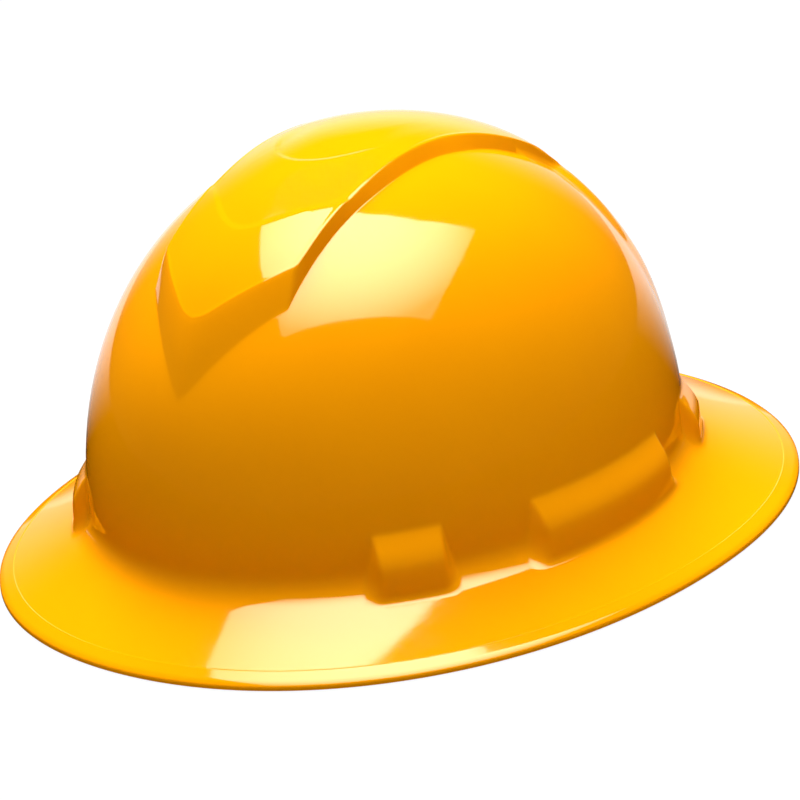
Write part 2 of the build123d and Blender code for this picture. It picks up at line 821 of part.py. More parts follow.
with BuildPart() as housing:
    with BuildSketch(Plane.XY.offset(band_level - housing_height / 2)):
        add(arc_face(rear_centre_y, band_outer_radius, housing_outer_radius, -housing_angle, housing_angle))
    extrude(amount=housing_height)
    fillet(corner_edges(housing, housing_outer_radius - band_outer_radius), plate_corner)
    with BuildSketch(Plane.XY.offset(band_level - flange_level)):
        add(arc_face(rear_centre_y, band_outer_radius - wall, housing_inner_radius,
                     -2 * housing_angle, 2 * housing_angle))
    extrude(amount=2 * flange_level, mode=Mode.SUBTRACT)
    with BuildSketch(shaft_plane(housing_inner_radius + housing_wall / 2)):
        Circle(disc_radius)
    extrude(amount=disc_face - housing_inner_radius - housing_wall / 2)
    with BuildSketch(shaft_plane(disc_floor)):
        Circle(disc_radius - ring_wall)
        with PolarLocations(disc_radius - ring_wall, click_teeth):
            Rectangle(click_depth * 2, click_depth * 2, rotation=45)
    extrude(amount=2 * ring_depth, mode=Mode.SUBTRACT)
    with BuildSketch(shaft_plane(housing_inner_radius - wall)):
        Circle(shaft_radius + layer_gap)
    extrude(amount=disc_face, mode=Mode.SUBTRACT)
    for angle, level in screw_places:
        with BuildSketch(radial_plane(rear_centre_y, angle, band_outer_radius - wall, band_level + level)):
            Circle(case_screw_radius + running_gap)
        extrude(amount=wall + case_screw_length, mode=Mode.SUBTRACT)
housing.part.label = "ratchet_housing"
export_step(housing.part, "parts/ratchet_housing.step")

with BuildPart() as housing_screws:
    for angle, level in screw_places:
        with BuildSketch(radial_plane(rear_centre_y, angle, plate_inner_radius, band_level + level)):
            Circle(case_screw_head)
        extrude(amount=case_head_depth - running_gap)
        with BuildSketch(radial_plane(rear_centre_y, angle, plate_inner_radius, band_level + level)):
            Circle(case_screw_radius)
        extrude(amount=plate_thickness + case_screw_length - running_gap)
housing_screws.part.label = "housing_screws"
export_step(housing_screws.part, "parts/housing_screws.step")

# Pinion, knob and click spring
pinion_start = band_outer_radius + running_gap
pinion_end = housing_inner_radius - 2 * layer_gap
shaft_end = disc_floor + layer_gap
square_end = disc_face + knob_depth - knob_wall - screw_grip
tooth_foot = pitch_radius - root_reach - fuse_overlap

with BuildPart() as pinion:
    with BuildSketch(shaft_plane(pinion_start)):
        Circle(pitch_radius - root_reach)
        for index in range(gear_teeth):
            turn = 90 + index * 360 / gear_teeth
            with BuildLine():
                flank = Polyline((tooth_foot, gear_root_share * tooth_width / 2),
                                 (pitch_radius, gear_pitch_share * tooth_width / 2),
                                 (gear_tip_radius, gear_tip_share * tooth_width / 2),
                                 (gear_tip_radius, -gear_tip_share * tooth_width / 2),
                                 (pitch_radius, -gear_pitch_share * tooth_width / 2),
                                 (tooth_foot, -gear_root_share * tooth_width / 2),
                                 close=True, mode=Mode.PRIVATE)
                add(flank.rotate(Axis.Z, turn))
            make_face()
    extrude(amount=pinion_end - pinion_start)
    with BuildSketch(shaft_plane(pinion_end)):
        Circle(shaft_radius)
    extrude(amount=shaft_end - pinion_end)
    with BuildSketch(shaft_plane(shaft_end)):
        Rectangle(square_width, square_width)
    extrude(amount=square_end - shaft_end)
    with BuildSketch(shaft_plane(pinion_start)):
        Circle(axle_radius + running_gap)
    extrude(amount=square_end - pinion_start, mode=Mode.SUBTRACT)
pinion.part.label = "pinion"
export_step(pinion.part, "parts/pinion.step")

knob_start = disc_face + layer_gap
with BuildPart() as knob:
    with BuildSketch(shaft_plane(knob_start)):
        Circle(knob_radius)
    extrude(amount=knob_depth)
    fillet(knob.edges().group_by(Axis.Y)[-1], knob_wall)
    with BuildSketch(shaft_plane(knob_start)):
        with PolarLocations(knob_radius + flute_radius - flute_depth, knob_flutes):
            Circle(flute_radius)
    extrude(amount=knob_depth, mode=Mode.SUBTRACT)
    with BuildSketch(shaft_plane(knob_start)):
        Circle(knob_radius - flute_depth - knob_wall)
        Circle(hub_radius, mode=Mode.SUBTRACT)
    extrude(amount=knob_depth - knob_wall, mode=Mode.SUBTRACT)
    with BuildSketch(shaft_plane(disc_floor + 2 * layer_gap)):
        Circle(hub_radius)
    extrude(amount=knob_start - disc_floor - 2 * layer_gap)
    with BuildSketch(shaft_plane(disc_floor)):
        Rectangle(square_width + 2 * running_gap, square_width + 2 * running_gap)
    extrude(amount=square_end + running_gap - disc_floor, mode=Mode.SUBTRACT)
    with BuildSketch(shaft_plane(square_end)):
        Circle(axle_radius + running_gap / 2)
    extrude(amount=screw_grip, mode=Mode.SUBTRACT)
knob.part.label = "ratchet_knob"
export_step(knob.part, "parts/ratchet_knob.step")

with BuildPart() as click_spring:
    with BuildSketch(shaft_plane(disc_floor + 3 * layer_gap)):
        Circle(hub_radius + spring_collar)
        with PolarLocations(0, 2):
            with BuildLine():
                arm_root = hub_radius + spring_collar - fuse_overlap
                tip = disc_radius - ring_wall - layer_gap
                bend = spring_bend_share * tip
                Polyline((arm_root, -spring_arm), (bend, -spring_arm), (tip, 0), (bend, spring_arm / 2),
                         (arm_root, spring_arm / 2), close=True)
            make_face()
        Circle(hub_radius + running_gap, mode=Mode.SUBTRACT)
    extrude(amount=ring_depth - 4 * layer_gap)
click_spring.part.label = "click_spring"
export_step(click_spring.part, "parts/click_spring.step")

with BuildPart() as axle_screw:
    with BuildSketch(shaft_plane(plate_inner_radius + running_gap)):
        Circle(screw_head_radius)
    extrude(amount=pinion_start - plate_inner_radius - 2 * running_gap)
    with BuildSketch(shaft_plane(pinion_start - running_gap)):
        Circle(axle_radius)
    extrude(amount=square_end + screw_grip - pinion_start)
axle_screw.part.label = "axle_screw"
export_step(axle_screw.part, "parts/axle_screw.step")
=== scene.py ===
# %% [markdown]
# # Full brim hard hat
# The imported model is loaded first, as a fixed frame. Every piece made here is in metres in that frame: the front
# of the hat faces -Y, the wearer's left side is +X, and the rim lies on Z = 0.

# %% Load the frame
import math
import bmesh
import bpy
import numpy as np
from mathutils import Matrix, Vector


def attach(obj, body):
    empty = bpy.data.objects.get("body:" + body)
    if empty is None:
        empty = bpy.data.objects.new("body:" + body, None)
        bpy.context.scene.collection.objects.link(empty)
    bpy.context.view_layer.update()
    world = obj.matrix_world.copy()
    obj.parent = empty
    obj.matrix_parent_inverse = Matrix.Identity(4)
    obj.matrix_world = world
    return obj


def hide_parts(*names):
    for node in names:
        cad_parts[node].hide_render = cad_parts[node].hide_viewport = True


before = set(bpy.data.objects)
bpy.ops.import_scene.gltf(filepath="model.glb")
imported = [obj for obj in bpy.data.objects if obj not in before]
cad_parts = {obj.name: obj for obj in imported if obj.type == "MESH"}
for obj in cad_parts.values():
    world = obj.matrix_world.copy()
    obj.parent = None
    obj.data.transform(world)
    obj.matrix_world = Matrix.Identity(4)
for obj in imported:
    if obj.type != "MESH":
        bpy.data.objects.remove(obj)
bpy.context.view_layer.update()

MM = 0.001
print("nodes", len(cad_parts))

# %% [markdown]
# ## Camera
# The view was fitted to the photograph: the direction, the roll and the distance come from the brim's outline,
# the dome's two silhouettes and the six bosses. The lens is given by the focal length in pixels, so that the
# fit's own numbers can be used as they are.

# %% Place the camera
view_azimuth = math.radians(39.187)
view_elevation = math.radians(21.02)
view_roll = math.radians(-5.87)
view_distance = 950.0
view_target = Vector((0.0, 11.5, 18.4))
focal_pixels = 2516.8
image_pixels = 800.0
target_pixel = (414.67, 445.15)

back = Vector((math.sin(view_azimuth) * math.cos(view_elevation),
               -math.cos(view_azimuth) * math.cos(view_elevation), math.sin(view_elevation)))
flat_right = Vector((math.cos(view_azimuth), math.sin(view_azimuth), 0.0))
flat_up = back.cross(flat_right)
right = math.cos(view_roll) * flat_right + math.sin(view_roll) * flat_up
up = -math.sin(view_roll) * flat_right + math.cos(view_roll) * flat_up

camera_data = bpy.data.cameras.new("camera")
camera_data.sensor_width = 36.0
camera_data.lens = focal_pixels / image_pixels * camera_data.sensor_width
camera_data.shift_x = (image_pixels / 2 - target_pixel[0]) / image_pixels
camera_data.shift_y = (target_pixel[1] - image_pixels / 2) / image_pixels
camera = bpy.data.objects.new("camera", camera_data)
bpy.context.scene.collection.objects.link(camera)
camera.matrix_world = Matrix.Translation((view_target + back * view_distance) * MM) @ Matrix(
    (right, up, back)).transposed().to_4x4()
bpy.context.scene.camera = camera
print("camera", camera_data.lens, "mm lens,", view_distance, "mm from its target")

# %% [markdown]
# ## Dome
# The shell is one moulding of hard, glossy plastic. A solid with rounded edges could be carved for it, but gloss
# shows every facet in its reflections. So the shell is one smooth mesh of columns and rings: each column is a
# profile from the rim, over the brim and up the dome to the crown, and back down inside. The rings gather where
# the shape turns sharply. The dome's own profile is a Bezier curve, fuller than a half ellipse.

# %% The dome's profile
HALF_WIDTH, HALF_LENGTH, HEIGHT = 104.6, 121.0, 124.7
CENTRE_Y, JUNCTION = -2.65, 18.4
SIDE_SHARE, CROWN_SHARE = 0.656, 0.5
WALL = 2.4


def smooth_min(a, b, k):
    blend = np.clip(0.5 + 0.5 * (b - a) / k, 0.0, 1.0)
    return b * (1 - blend) + a * blend - k * blend * (1 - blend)


def smooth_max(a, b, k):
    return -smooth_min(-a, -b, k)


def smooth_step(x):
    x = np.clip(x, 0.0, 1.0)
    return x * x * (3 - 2 * x)


def dome_profile(t):
    """Share of the base's radius and of the height at t, and how fast both change."""
    rho = (1 - t) ** 3 + 3 * (1 - t) ** 2 * t + 3 * (1 - t) * t ** 2 * CROWN_SHARE
    zeta = 3 * (1 - t) ** 2 * t * SIDE_SHARE + 3 * (1 - t) * t ** 2 + t ** 3
    rho_slope = -3 * (1 - t) ** 2 + 3 * ((1 - t) ** 2 - 2 * (1 - t) * t) \
        + 3 * CROWN_SHARE * (2 * (1 - t) * t - t ** 2)
    zeta_slope = 3 * SIDE_SHARE * ((1 - t) ** 2 - 2 * (1 - t) * t) + 3 * (2 * (1 - t) * t - t ** 2) \
        + 3 * t ** 2
    return rho, zeta, rho_slope, zeta_slope


def dome_point(phi, t):
    """Point and outward normal of the dome, about the middle of its base."""
    rho, zeta, rho_slope, zeta_slope = dome_profile(t)
    rho = np.maximum(rho, 1e-6)
    x, y = HALF_WIDTH * rho * np.sin(phi), -HALF_LENGTH * rho * np.cos(phi)
    normal = np.stack([np.sin(phi) / HALF_WIDTH * zeta_slope * HEIGHT,
                       -np.cos(phi) / HALF_LENGTH * zeta_slope * HEIGHT,
                       -rho_slope * np.ones_like(phi)], axis=-1)
    return np.stack([x, y, HEIGHT * zeta], axis=-1), normal / np.linalg.norm(normal, axis=-1, keepdims=True)


print("dome", 2 * HALF_WIDTH, "by", 2 * HALF_LENGTH, "mm at its foot and", HEIGHT, "mm high")

# %% [markdown]
# ## Crown panel
# A raised panel runs over the crown. It starts in a V at the front, drops a little at two soft steps, and sinks
# at the rear into a wider, lower tail. It stiffens the shell. The lines of its foot and its head were read off
# the photograph through the camera, as points in plan. Their heights over the dome follow from these lines, and
# the panel is added to the dome along its normal, which keeps it part of the same skin.

# %% Lines of the crown panel
PANEL, TAIL = 4.3, 2.6
FOOT_Y = [-110, -84, -78, -68, -51.6, -30.8, -19.4, -7.7, 3.4, 13.8, 25.1, 37, 48, 66]
FOOT_X = [29.6, 29.9, 30.0, 30.5, 31.4, 33.0, 33.4, 33.6, 34.2, 35.3, 36.0, 37.2, 38.4, 39.6]
HEAD_Y = [-110, -74.4, -68, -48.1, -25.3, -13.9, -2.5, 8.6, 19.0, 29.7, 39.6, 50, 66]
HEAD_X = [27.6, 27.8, 28.6, 29.2, 29.6, 29.9, 30.2, 30.7, 31.9, 33.0, 34.4, 35.8, 37.0]
TAIL_Z = [30, 46, 60, 75, 85, 93, 104]
TAIL_HEIGHT = [0.0, 0.9, 1.6, 1.9, 2.3, 2.6, 2.6]
TAIL_EDGE = [80, 77, 73, 66, 58, 51, 45]
STEP_TWO_X, STEP_TWO_Y = [0, 3, 7, 12, 18.7, 27.8, 34], [-65.9, -65.5, -63.7, -60.3, -53.8, -45.6, -41]
STEP_THREE_X, STEP_THREE_Y = [0, 3, 8.7, 13.8, 19, 23.8, 32], [-33.4, -33.2, -31.2, -27, -19.5, -12.4, 4]
V_FOOT_X, V_FOOT_Y = [0, 4, 12, 17.6, 23.5, 28.3, 40], [-107.7, -105.6, -99.3, -94.0, -88.1, -82.7, -70]
V_HEAD_X, V_HEAD_Y = [0, 5.5, 10, 12.6, 19.8, 26.5, 40], [-93.2, -91.8, -88.2, -86.4, -80.2, -73.4, -59]
REAR_Y, REAR_FALL = 68.0, 0.12
STEP_DROP, STEP_TWO_RUN, STEP_THREE_RUN = 0.5, 24, 20
EDGE_ROUND, REAR_ROUND, TAIL_ROUND, LIP = 0.35, 0.4, 0.3, 0.17


def soft_line(x, xs, ys):
    """The drawn line at x, its corners rounded by a short running mean."""
    return sum(np.interp(x + shift, xs, ys) for shift in (-2.4, -1.2, 0.0, 1.2, 2.4)) / 5


print("crown panel", PANEL, "mm over the dome, tail", TAIL, "mm")

# %% [markdown]
# Three ramps cut the panel off: the V at the front, its sides, and a long fall at the rear. The lowest of them
# counts, with a small round where two meet, as a mould's edge has one.

# %% Height of the crown panel


def panel_limit(phi, t):
    """Height over the dome at which the raised panel's front, sides and rear cut it off."""
    point, _ = dome_point(phi, t)
    x, y = np.abs(point[..., 0]), point[..., 1]
    v_foot = soft_line(x, V_FOOT_X, V_FOOT_Y)
    v_head = soft_line(x, V_HEAD_X, V_HEAD_Y)
    front = PANEL * (y - v_foot) / (v_head - v_foot)
    foot = soft_line(y, FOOT_Y, FOOT_X)
    head = soft_line(y, HEAD_Y, HEAD_X)
    side = PANEL * (foot - x) / (foot - head)
    rear = TAIL + (REAR_Y - y) * REAR_FALL
    return front, side, rear


def step_distance(x, y, xs, ys):
    """Distance behind one of the panel's two soft steps, square to its line."""
    line = soft_line(x, xs, ys)
    lean = soft_line(x + 0.5, xs, ys) - soft_line(x - 0.5, xs, ys)
    return (y - line) / np.hypot(1, lean)


def step_dip(distance, length):
    """A short drop at a step, from which the surface comes back slowly."""
    return -STEP_DROP * smooth_step((distance + 1.3) / 2.6) * (1 - smooth_step(distance / length))


def panel_height(phi, t):
    """Height of the raised panel with its two soft steps and its lip, and of the tail behind it."""
    front, side, rear = panel_limit(phi, t)
    point, _ = dome_point(phi, t)
    x, y, z = np.abs(point[..., 0]), point[..., 1], point[..., 2]
    top = PANEL + step_dip(step_distance(x, y, STEP_TWO_X, STEP_TWO_Y), STEP_TWO_RUN) \
        + step_dip(step_distance(x, y, STEP_THREE_X, STEP_THREE_Y), STEP_THREE_RUN) * smooth_step((24 - x) / 9)
    inside = np.minimum(step_distance(x, y, V_HEAD_X, V_HEAD_Y) * 1.3, soft_line(y, HEAD_Y, HEAD_X) - x)
    top = top + LIP * np.exp(-((inside - 0.65) / 0.55) ** 2) * smooth_step((40 - y) / 20)
    raised = smooth_min(smooth_min(smooth_min(top, front, EDGE_ROUND), side, EDGE_ROUND), rear, REAR_ROUND)
    ramp = smooth_step((np.interp(z, TAIL_Z, TAIL_EDGE) - x) / 9) * smooth_step((y - 59.5) / 7)
    return smooth_max(raised, np.interp(z, TAIL_Z, TAIL_HEIGHT) * ramp, TAIL_ROUND)


print("panel at the crown", round(float(panel_height(np.array(0.0), np.array(0.97))), 2), "mm")

# %% [markdown]
# ## Brim
# The brim goes all the way round, longer in front, with an edge band that is slightly raised. Its outline is
# four Bezier quarters. From the band it climbs in a straight slope that sags a little, up to the dome's foot.

# %% Outline and level of the brim
BRIM_SIDE, BRIM_FRONT, BRIM_REAR, BRIM_PULL = 140.0, 167.0, 150.0, 0.5837
BRIM_CENTRE = 8.5
BAND_WIDTH, BAND_LEVEL, BAND_STEP = 5.6, 4.2, 0.3
BRIM_SLOPE = (JUNCTION - BAND_LEVEL) / (BRIM_SIDE - BAND_WIDTH - HALF_WIDTH)
BRIM_WALL = WALL * math.hypot(1, BRIM_SLOPE)
INNER_INSET, SAG = 47.4, 0.7


def brim_radius(psi, inset):
    """Distance from the dome's middle to the rim's outline, moved in by a distance, along a direction."""
    side, front, rear = BRIM_SIDE - inset, BRIM_FRONT - inset, BRIM_REAR - inset
    t = np.linspace(0, 1, 400)
    b0, b1, b2, b3 = (1 - t) ** 3, 3 * (1 - t) ** 2 * t, 3 * (1 - t) * t ** 2, t ** 3
    x = side * (b1 * BRIM_PULL + b2 + b3)
    y_front = BRIM_CENTRE - front * (b0 + b1 + b2 * BRIM_PULL)
    y_rear = BRIM_CENTRE + rear * (b1 * BRIM_PULL + b2 + b3)
    x_rear = side * (b0 + b1 + b2 * BRIM_PULL)
    xs, ys = np.concatenate([x, x_rear]), np.concatenate([y_front, y_rear])
    angle = np.arctan2(xs, -(ys - CENTRE_Y))
    return np.interp(np.abs(psi), angle, np.hypot(xs, ys - CENTRE_Y))


def brim_level(inset):
    """Height of the brim's top at a distance in from the rim."""
    share = (inset - BAND_WIDTH) / (INNER_INSET - BAND_WIDTH)
    band = BAND_LEVEL + (inset - BAND_WIDTH) * BRIM_SLOPE
    flat = band - SAG * 4 * share * (1 - share)
    raised = BAND_STEP * smooth_step((BAND_WIDTH + 0.15 - inset) / 0.4)
    return np.where(inset < BAND_WIDTH, band, flat) + raised


print("brim slope", round(math.degrees(math.atan(BRIM_SLOPE)), 1), "degrees")

# %% [markdown]
# ## Columns
# Six bosses stand against the dome's foot, three on each side. The hangers plug into the four short ones, and
# the long ones hold accessories. A boss has straight ends, so the columns gather there, at distances measured
# along the boss: each pair of neighbours then holds one narrow strip of its end. Elsewhere they are even.

# %% Columns round the dome
BOSSES = [(45.1, 24.0), (84.7, 71.0), (124.0, 24.0)]
BOSS_TOP, BOSS_PROUD, SHOULDER_PROUD, SHOULDER_DROP, BOSS_LOW = 35.7, 6.7, 5.4, 8.0, 12.4
END_COLUMNS = [4.8, 4.0, 3.2, 2.4, 1.7, 1.1, 0.6, 0.25, 0.0, -0.25, -0.55, -0.9, -1.4, -2.0, -3.0]
POCKET_GAP, POCKET_TOP = 3.8, 27.0
FAR_OUT, FAR_IN = 99.0, -9.0

columns = [(math.radians(step * 1.5 - 180 + 0.75), None, FAR_OUT, 0.0) for step in range(240)]
marks = []
for side in (1, -1):
    for angle, length in BOSSES:
        turn = math.radians(angle)
        out = np.array([math.sin(turn) / HALF_WIDTH, -math.cos(turn) / HALF_LENGTH])
        out /= np.linalg.norm(out)
        along = np.array([-out[1], out[0]])
        base = np.array([HALF_WIDTH * math.sin(turn), -HALF_LENGTH * math.cos(turn)])
        phi_table = np.radians(np.linspace(angle - 50, angle + 50, 4001))
        places = np.stack([HALF_WIDTH * np.sin(phi_table), -HALF_LENGTH * np.cos(phi_table)], axis=-1)
        reach = (places - base) @ along
        push_way = (out[0] * side, out[1])
        low, high = (np.interp(end * (length / 2 + 5.3), reach, phi_table) for end in (-1, 1))
        marks.append((min(side * low, side * high), max(side * low, side * high)))
        for end in (-1, 1):
            for shift in END_COLUMNS:
                phi = np.interp(end * (length / 2 + shift), reach, phi_table)
                columns.append((side * phi, push_way, shift, 0.0))
        for distance in np.linspace(-length / 2 + 4.6, length / 2 - 4.6, max(int(length / 2.4), 3)):
            columns.append((side * np.interp(distance, reach, phi_table), push_way, FAR_IN, 1.0))
columns = [column for column in columns
           if column[1] is not None or not any(low < column[0] < high for low, high in marks)]
for extra in (0.0, 0.5, 22.9, 22.2, 23.7, 21.4, 140.2, 139.4, 141.1):
    for side in (1, -1):
        columns.append((math.radians(side * extra), None, FAR_OUT, 0.0))
columns.sort(key=lambda column: column[0])
kept = [columns[0]]
for column in columns[1:]:
    if column[0] - kept[-1][0] > math.radians(0.012):
        kept.append(column)
columns = kept
print("columns", len(columns))

# %% [markdown]
# Each ring is one array of points, one for each column, on rays from the dome's middle. The brim's outline isn't
# the dome's, so a table gives the brim's radius for each column and inset, and can be read both ways.

# %% Rays and rings
PHI = np.array([column[0] for column in columns])
base_x, base_y = HALF_WIDTH * np.sin(PHI), -HALF_LENGTH * np.cos(PHI)
PSI = np.arctan2(base_x, -base_y)
ray = np.stack([np.sin(PSI), -np.cos(PSI)], axis=-1)
wall_radius = np.hypot(base_x, base_y)
insets = np.linspace(0, INNER_INSET, 160)
radius_table = np.stack([brim_radius(PSI, inset) for inset in insets], axis=-1)


def inset_at(radius):
    """Inset of the outline that passes at a radius, for each column."""
    return np.array([np.interp(-radius[i], -radius_table[i], insets) for i in range(len(PHI))])


def ring_points(radius, level):
    return np.stack([ray[:, 0] * radius, CENTRE_Y + ray[:, 1] * radius, level * np.ones(len(PHI))], axis=-1)


print("foot of the dome", round(float(wall_radius.min()), 1), "to", round(float(wall_radius.max()), 1), "mm out")

# %% [markdown]
# ## Top of the brim
# The rim is rounded in seven short rings. Six more gather at the step of the edge band, which catches a thin
# line of light all round, and the slope needs few.

# %% Rings of the brim
RIM_ROUND = ((0.0, 0.0), (0.0, 0.3), (0.0, 0.65), (0.05, 1.05), (0.2, 1.42), (0.45, 1.72), (0.85, 2.02))
BAND_RINGS = (1.3, 2.2, 3.4, 4.5, 5.1, 5.3, 5.42, 5.54, 5.66, 5.78, 5.95)
SLOPE_START, BOSS_EDGE = 6.4, 7.3

outer = [ring_points(brim_radius(PSI, inset), level) for inset, level in RIM_ROUND]
outer += [ring_points(brim_radius(PSI, inset), brim_level(np.array(inset))) for inset in BAND_RINGS]
start = brim_radius(PSI, SLOPE_START)
end = wall_radius + BOSS_EDGE
for share in np.linspace(0, 1, 24):
    radius = start + (end - start) * share
    outer.append(ring_points(radius, brim_level(inset_at(radius))))
print("rings of the brim", len(outer))

# %% [markdown]
# ## Foot of the dome and bosses
# A round of 10 mm joins brim and dome. The bosses are pushed out of it along their own direction. Their face
# leans a little, their shoulder slopes back into the dome, and their ends splay towards the brim, because a
# moulding has to leave its mould.

# %% Rings of the foot and the bosses
FILLET, FACE_TOP = 10.0, 37.2
END_SPLAY = 3.6
FOOT_SHARES = (0.05, 0.12, 0.2, 0.28, 0.36, 0.44, 0.5, 0.54, 0.58, 0.62, 0.66, 0.72, 0.79, 0.86, 0.91, 0.95, 1.0)

inset_near = inset_at(wall_radius + FILLET)
inset_far = inset_at(wall_radius + FILLET + 2)
slope = (brim_level(inset_near) - brim_level(inset_far)) / 2
beta = np.arctan(slope)
arc_level = brim_level(inset_near) + FILLET / np.cos(beta)
foot_radius = wall_radius + FILLET - FILLET * np.sin(beta)


def plain_radius(level):
    """Radius of the junction's round and the dome at a level, for each column."""
    t_table = np.linspace(0, 0.3, 200)
    rho, zeta, _, _ = dome_profile(t_table)
    above = np.interp(level, JUNCTION + HEIGHT * zeta, rho) * wall_radius
    drop = np.clip(arc_level - level, 0, FILLET * np.cos(beta))
    arc = wall_radius + FILLET - np.sqrt(np.maximum(FILLET ** 2 - drop ** 2, 0))
    low = arc_level - FILLET * np.cos(beta)
    line = foot_radius + (low - level) / np.maximum(slope, 0.05)
    return np.where(level > arc_level, above, np.where(level > low, arc, line))


shifts = np.array([column[2] for column in columns])
push = np.array([column[1] or (0, 0) for column in columns])
line_end = brim_level(inset_at(end))
face_slope = (BOSS_PROUD - SHOULDER_PROUD) / (BOSS_TOP - SHOULDER_DROP - BOSS_LOW)
for share in FOOT_SHARES:
    level = line_end + (FACE_TOP - line_end) * share
    radius = plain_radius(level)
    points = ring_points(radius, level)
    face = BOSS_PROUD - (level - BOSS_LOW) * face_slope
    proud = smooth_min(face, (BOSS_TOP - level) * SHOULDER_PROUD / SHOULDER_DROP, 2.2)
    proud = smooth_max(proud, 0.0 * level, 0.35) * (level < FACE_TOP - 0.01)
    lean_in = smooth_step((level - 20) / (BOSS_TOP - 24))
    wall_line = np.where(radius < wall_radius, wall_radius * (1 - lean_in) + radius * lean_in, wall_radius)
    depth = np.maximum(wall_line + proud - radius, 0)
    splay = END_SPLAY * smooth_step((BOSS_TOP - level) / 22)
    share_out = np.clip(smooth_min(1.0, (splay + 0.3 - shifts) / (splay * 0.95 + 1.2), 0.45), 0, 1)
    points[:, :2] += push * (share_out * depth)[:, None]
    outer.append(points)
print("rings up to the bosses' tops", len(outer))

# %% [markdown]
# ## Rings over the dome
# Each column meets the panel's edge at another height. So its rings are shared out by itself: 24 up to the
# panel's foot, a few close ones round the foot and the head of the edge, and then 76 to the crown, which stand
# closer together where the two soft steps cross the column.

# %% Where the rings gather
t_low_dome = np.linspace(0, 0.3, 200)
t_face = np.interp(FACE_TOP, JUNCTION + HEIGHT * dome_profile(t_low_dome)[1], t_low_dome)
t_fine = np.linspace(t_face + 0.01, 0.97, 1500)
grid_phi, grid_t = np.meshgrid(PHI, t_fine, indexing="ij")
front, side, rear = panel_limit(grid_phi, grid_t)
raw = np.minimum(np.minimum(front, side), rear)
foot_height = np.where(np.abs(PHI) > math.radians(135), TAIL, 0.0)
t_foot = np.array([t_fine[np.argmax(raw[i] > foot_height[i])] for i in range(len(PHI))])
t_head = np.array([t_fine[np.argmax(raw[i] > PANEL * 0.99)] for i in range(len(PHI))])
unit = 1.0 / (HEIGHT * 1.25)
t_head = np.maximum(t_head, t_foot + 2.4 * unit)
sequence = [(t_face + (t_foot - 1.6 * unit - t_face) * share) for share in np.linspace(0, 1, 25)[1:]]
sequence += [t_foot + shift * unit for shift in (-1.0, -0.5, -0.2, 0.0, 0.2, 0.5, 1.0)]
sequence += [t_foot + 1.0 * unit + (t_head - t_foot - 2.0 * unit) * share for share in (0.33, 0.67)]
sequence += [t_head + shift * unit for shift in (-1.0, -0.5, -0.2, 0.0, 0.2, 0.4, 0.65, 0.95, 1.35, 1.9)]
print("rings up to the panel's head", len(sequence))

# %% Rings to the crown
t_start = t_head + 2.6 * unit
grid_rho = dome_profile(grid_t)[0]
grid_x, grid_y = np.abs(HALF_WIDTH * grid_rho * np.sin(grid_phi)), -HALF_LENGTH * grid_rho * np.cos(grid_phi)
share_table = np.linspace(0, 1, 1200)
t_table = t_start[:, None] + (0.995 - t_start)[:, None] * share_table
density = np.ones_like(t_table)
for xs, ys in ((STEP_TWO_X, STEP_TWO_Y), (STEP_THREE_X, STEP_THREE_Y)):
    distance = step_distance(grid_x, grid_y, xs, ys)
    crossing = np.array([t_fine[np.argmax((distance[i] > 0) & (t_fine > t_head[i]))] for i in range(len(PHI))])
    density += 4.5 * np.exp(-((t_table - crossing[:, None]) / (1.5 * unit)) ** 2)
running = np.cumsum(density, axis=1)
running = (running - running[:, :1]) / (running[:, -1:] - running[:, :1])
for share in np.linspace(0, 1, 76):
    sequence.append(np.array([np.interp(share, running[i], t_table[i]) for i in range(len(PHI))]))
previous = np.full(len(PHI), t_face)
for t in sequence:
    t = np.maximum(t, previous + 1e-4)
    previous = t
    point, normal = dome_point(PHI, t)
    point = point + normal * panel_height(PHI, t)[:, None]
    outer.append(point + np.array([0, CENTRE_Y, JUNCTION]))
print("rings of the outside", len(outer))

# %% [markdown]
# ## Inside of the shell
# The inside follows the outside at the wall's thickness, without the panel. In each boss a pocket opens
# downwards: a hanger plugs into the short ones, and the long ones are the accessory slots.

# %% Rings of the inside
inner = []
inner_width, inner_length, inner_height = HALF_WIDTH - WALL, HALF_LENGTH - WALL, HEIGHT - WALL
inner_wall = 1 / np.sqrt((ray[:, 0] / inner_width) ** 2 + (ray[:, 1] / inner_length) ** 2)
radius_two = FILLET + WALL


def under_level(inset):
    """Height of the brim's underside at a distance in from the rim."""
    low = BAND_LEVEL - BRIM_WALL
    edge = low * (inset - WALL) / (BAND_WIDTH - WALL)
    return np.where(inset < BAND_WIDTH, edge, brim_level(inset) - BRIM_WALL)


for inset in (WALL, WALL + 0.25, 4.0, 5.3, 5.9):
    inner.append(ring_points(brim_radius(PSI, inset), under_level(np.array(inset))))
near_two = inset_at(inner_wall + radius_two)
far_two = inset_at(inner_wall + radius_two + 2)
slope_two = (under_level(near_two) - under_level(far_two)) / 2
beta_two = np.arctan(slope_two)
arc_two = under_level(near_two) + radius_two / np.cos(beta_two)


def under_surface(radius):
    """Level of the brim's underside and of its round into the dome."""
    run = np.clip(inner_wall + radius_two - radius, radius_two * np.sin(beta_two), radius_two)
    round_level = arc_two - np.sqrt(np.maximum(radius_two ** 2 - run ** 2, 0))
    round_start = inner_wall + radius_two * (1 - np.sin(beta_two))
    return np.where(radius > round_start, under_level(inset_at(radius)), round_level)


slot_outer = wall_radius + POCKET_GAP
for share in np.linspace(0, 1, 10):
    radius = start + (slot_outer + 0.6 - start) * share
    inner.append(ring_points(radius, under_surface(radius)))
print("rings under the brim", len(inner))

# %% [markdown]
# Seven rings make the pockets. In a pocket's columns they climb its outer wall, cross its roof and come down
# against the dome. In all other columns the same rings lie evenly on the plain surface.

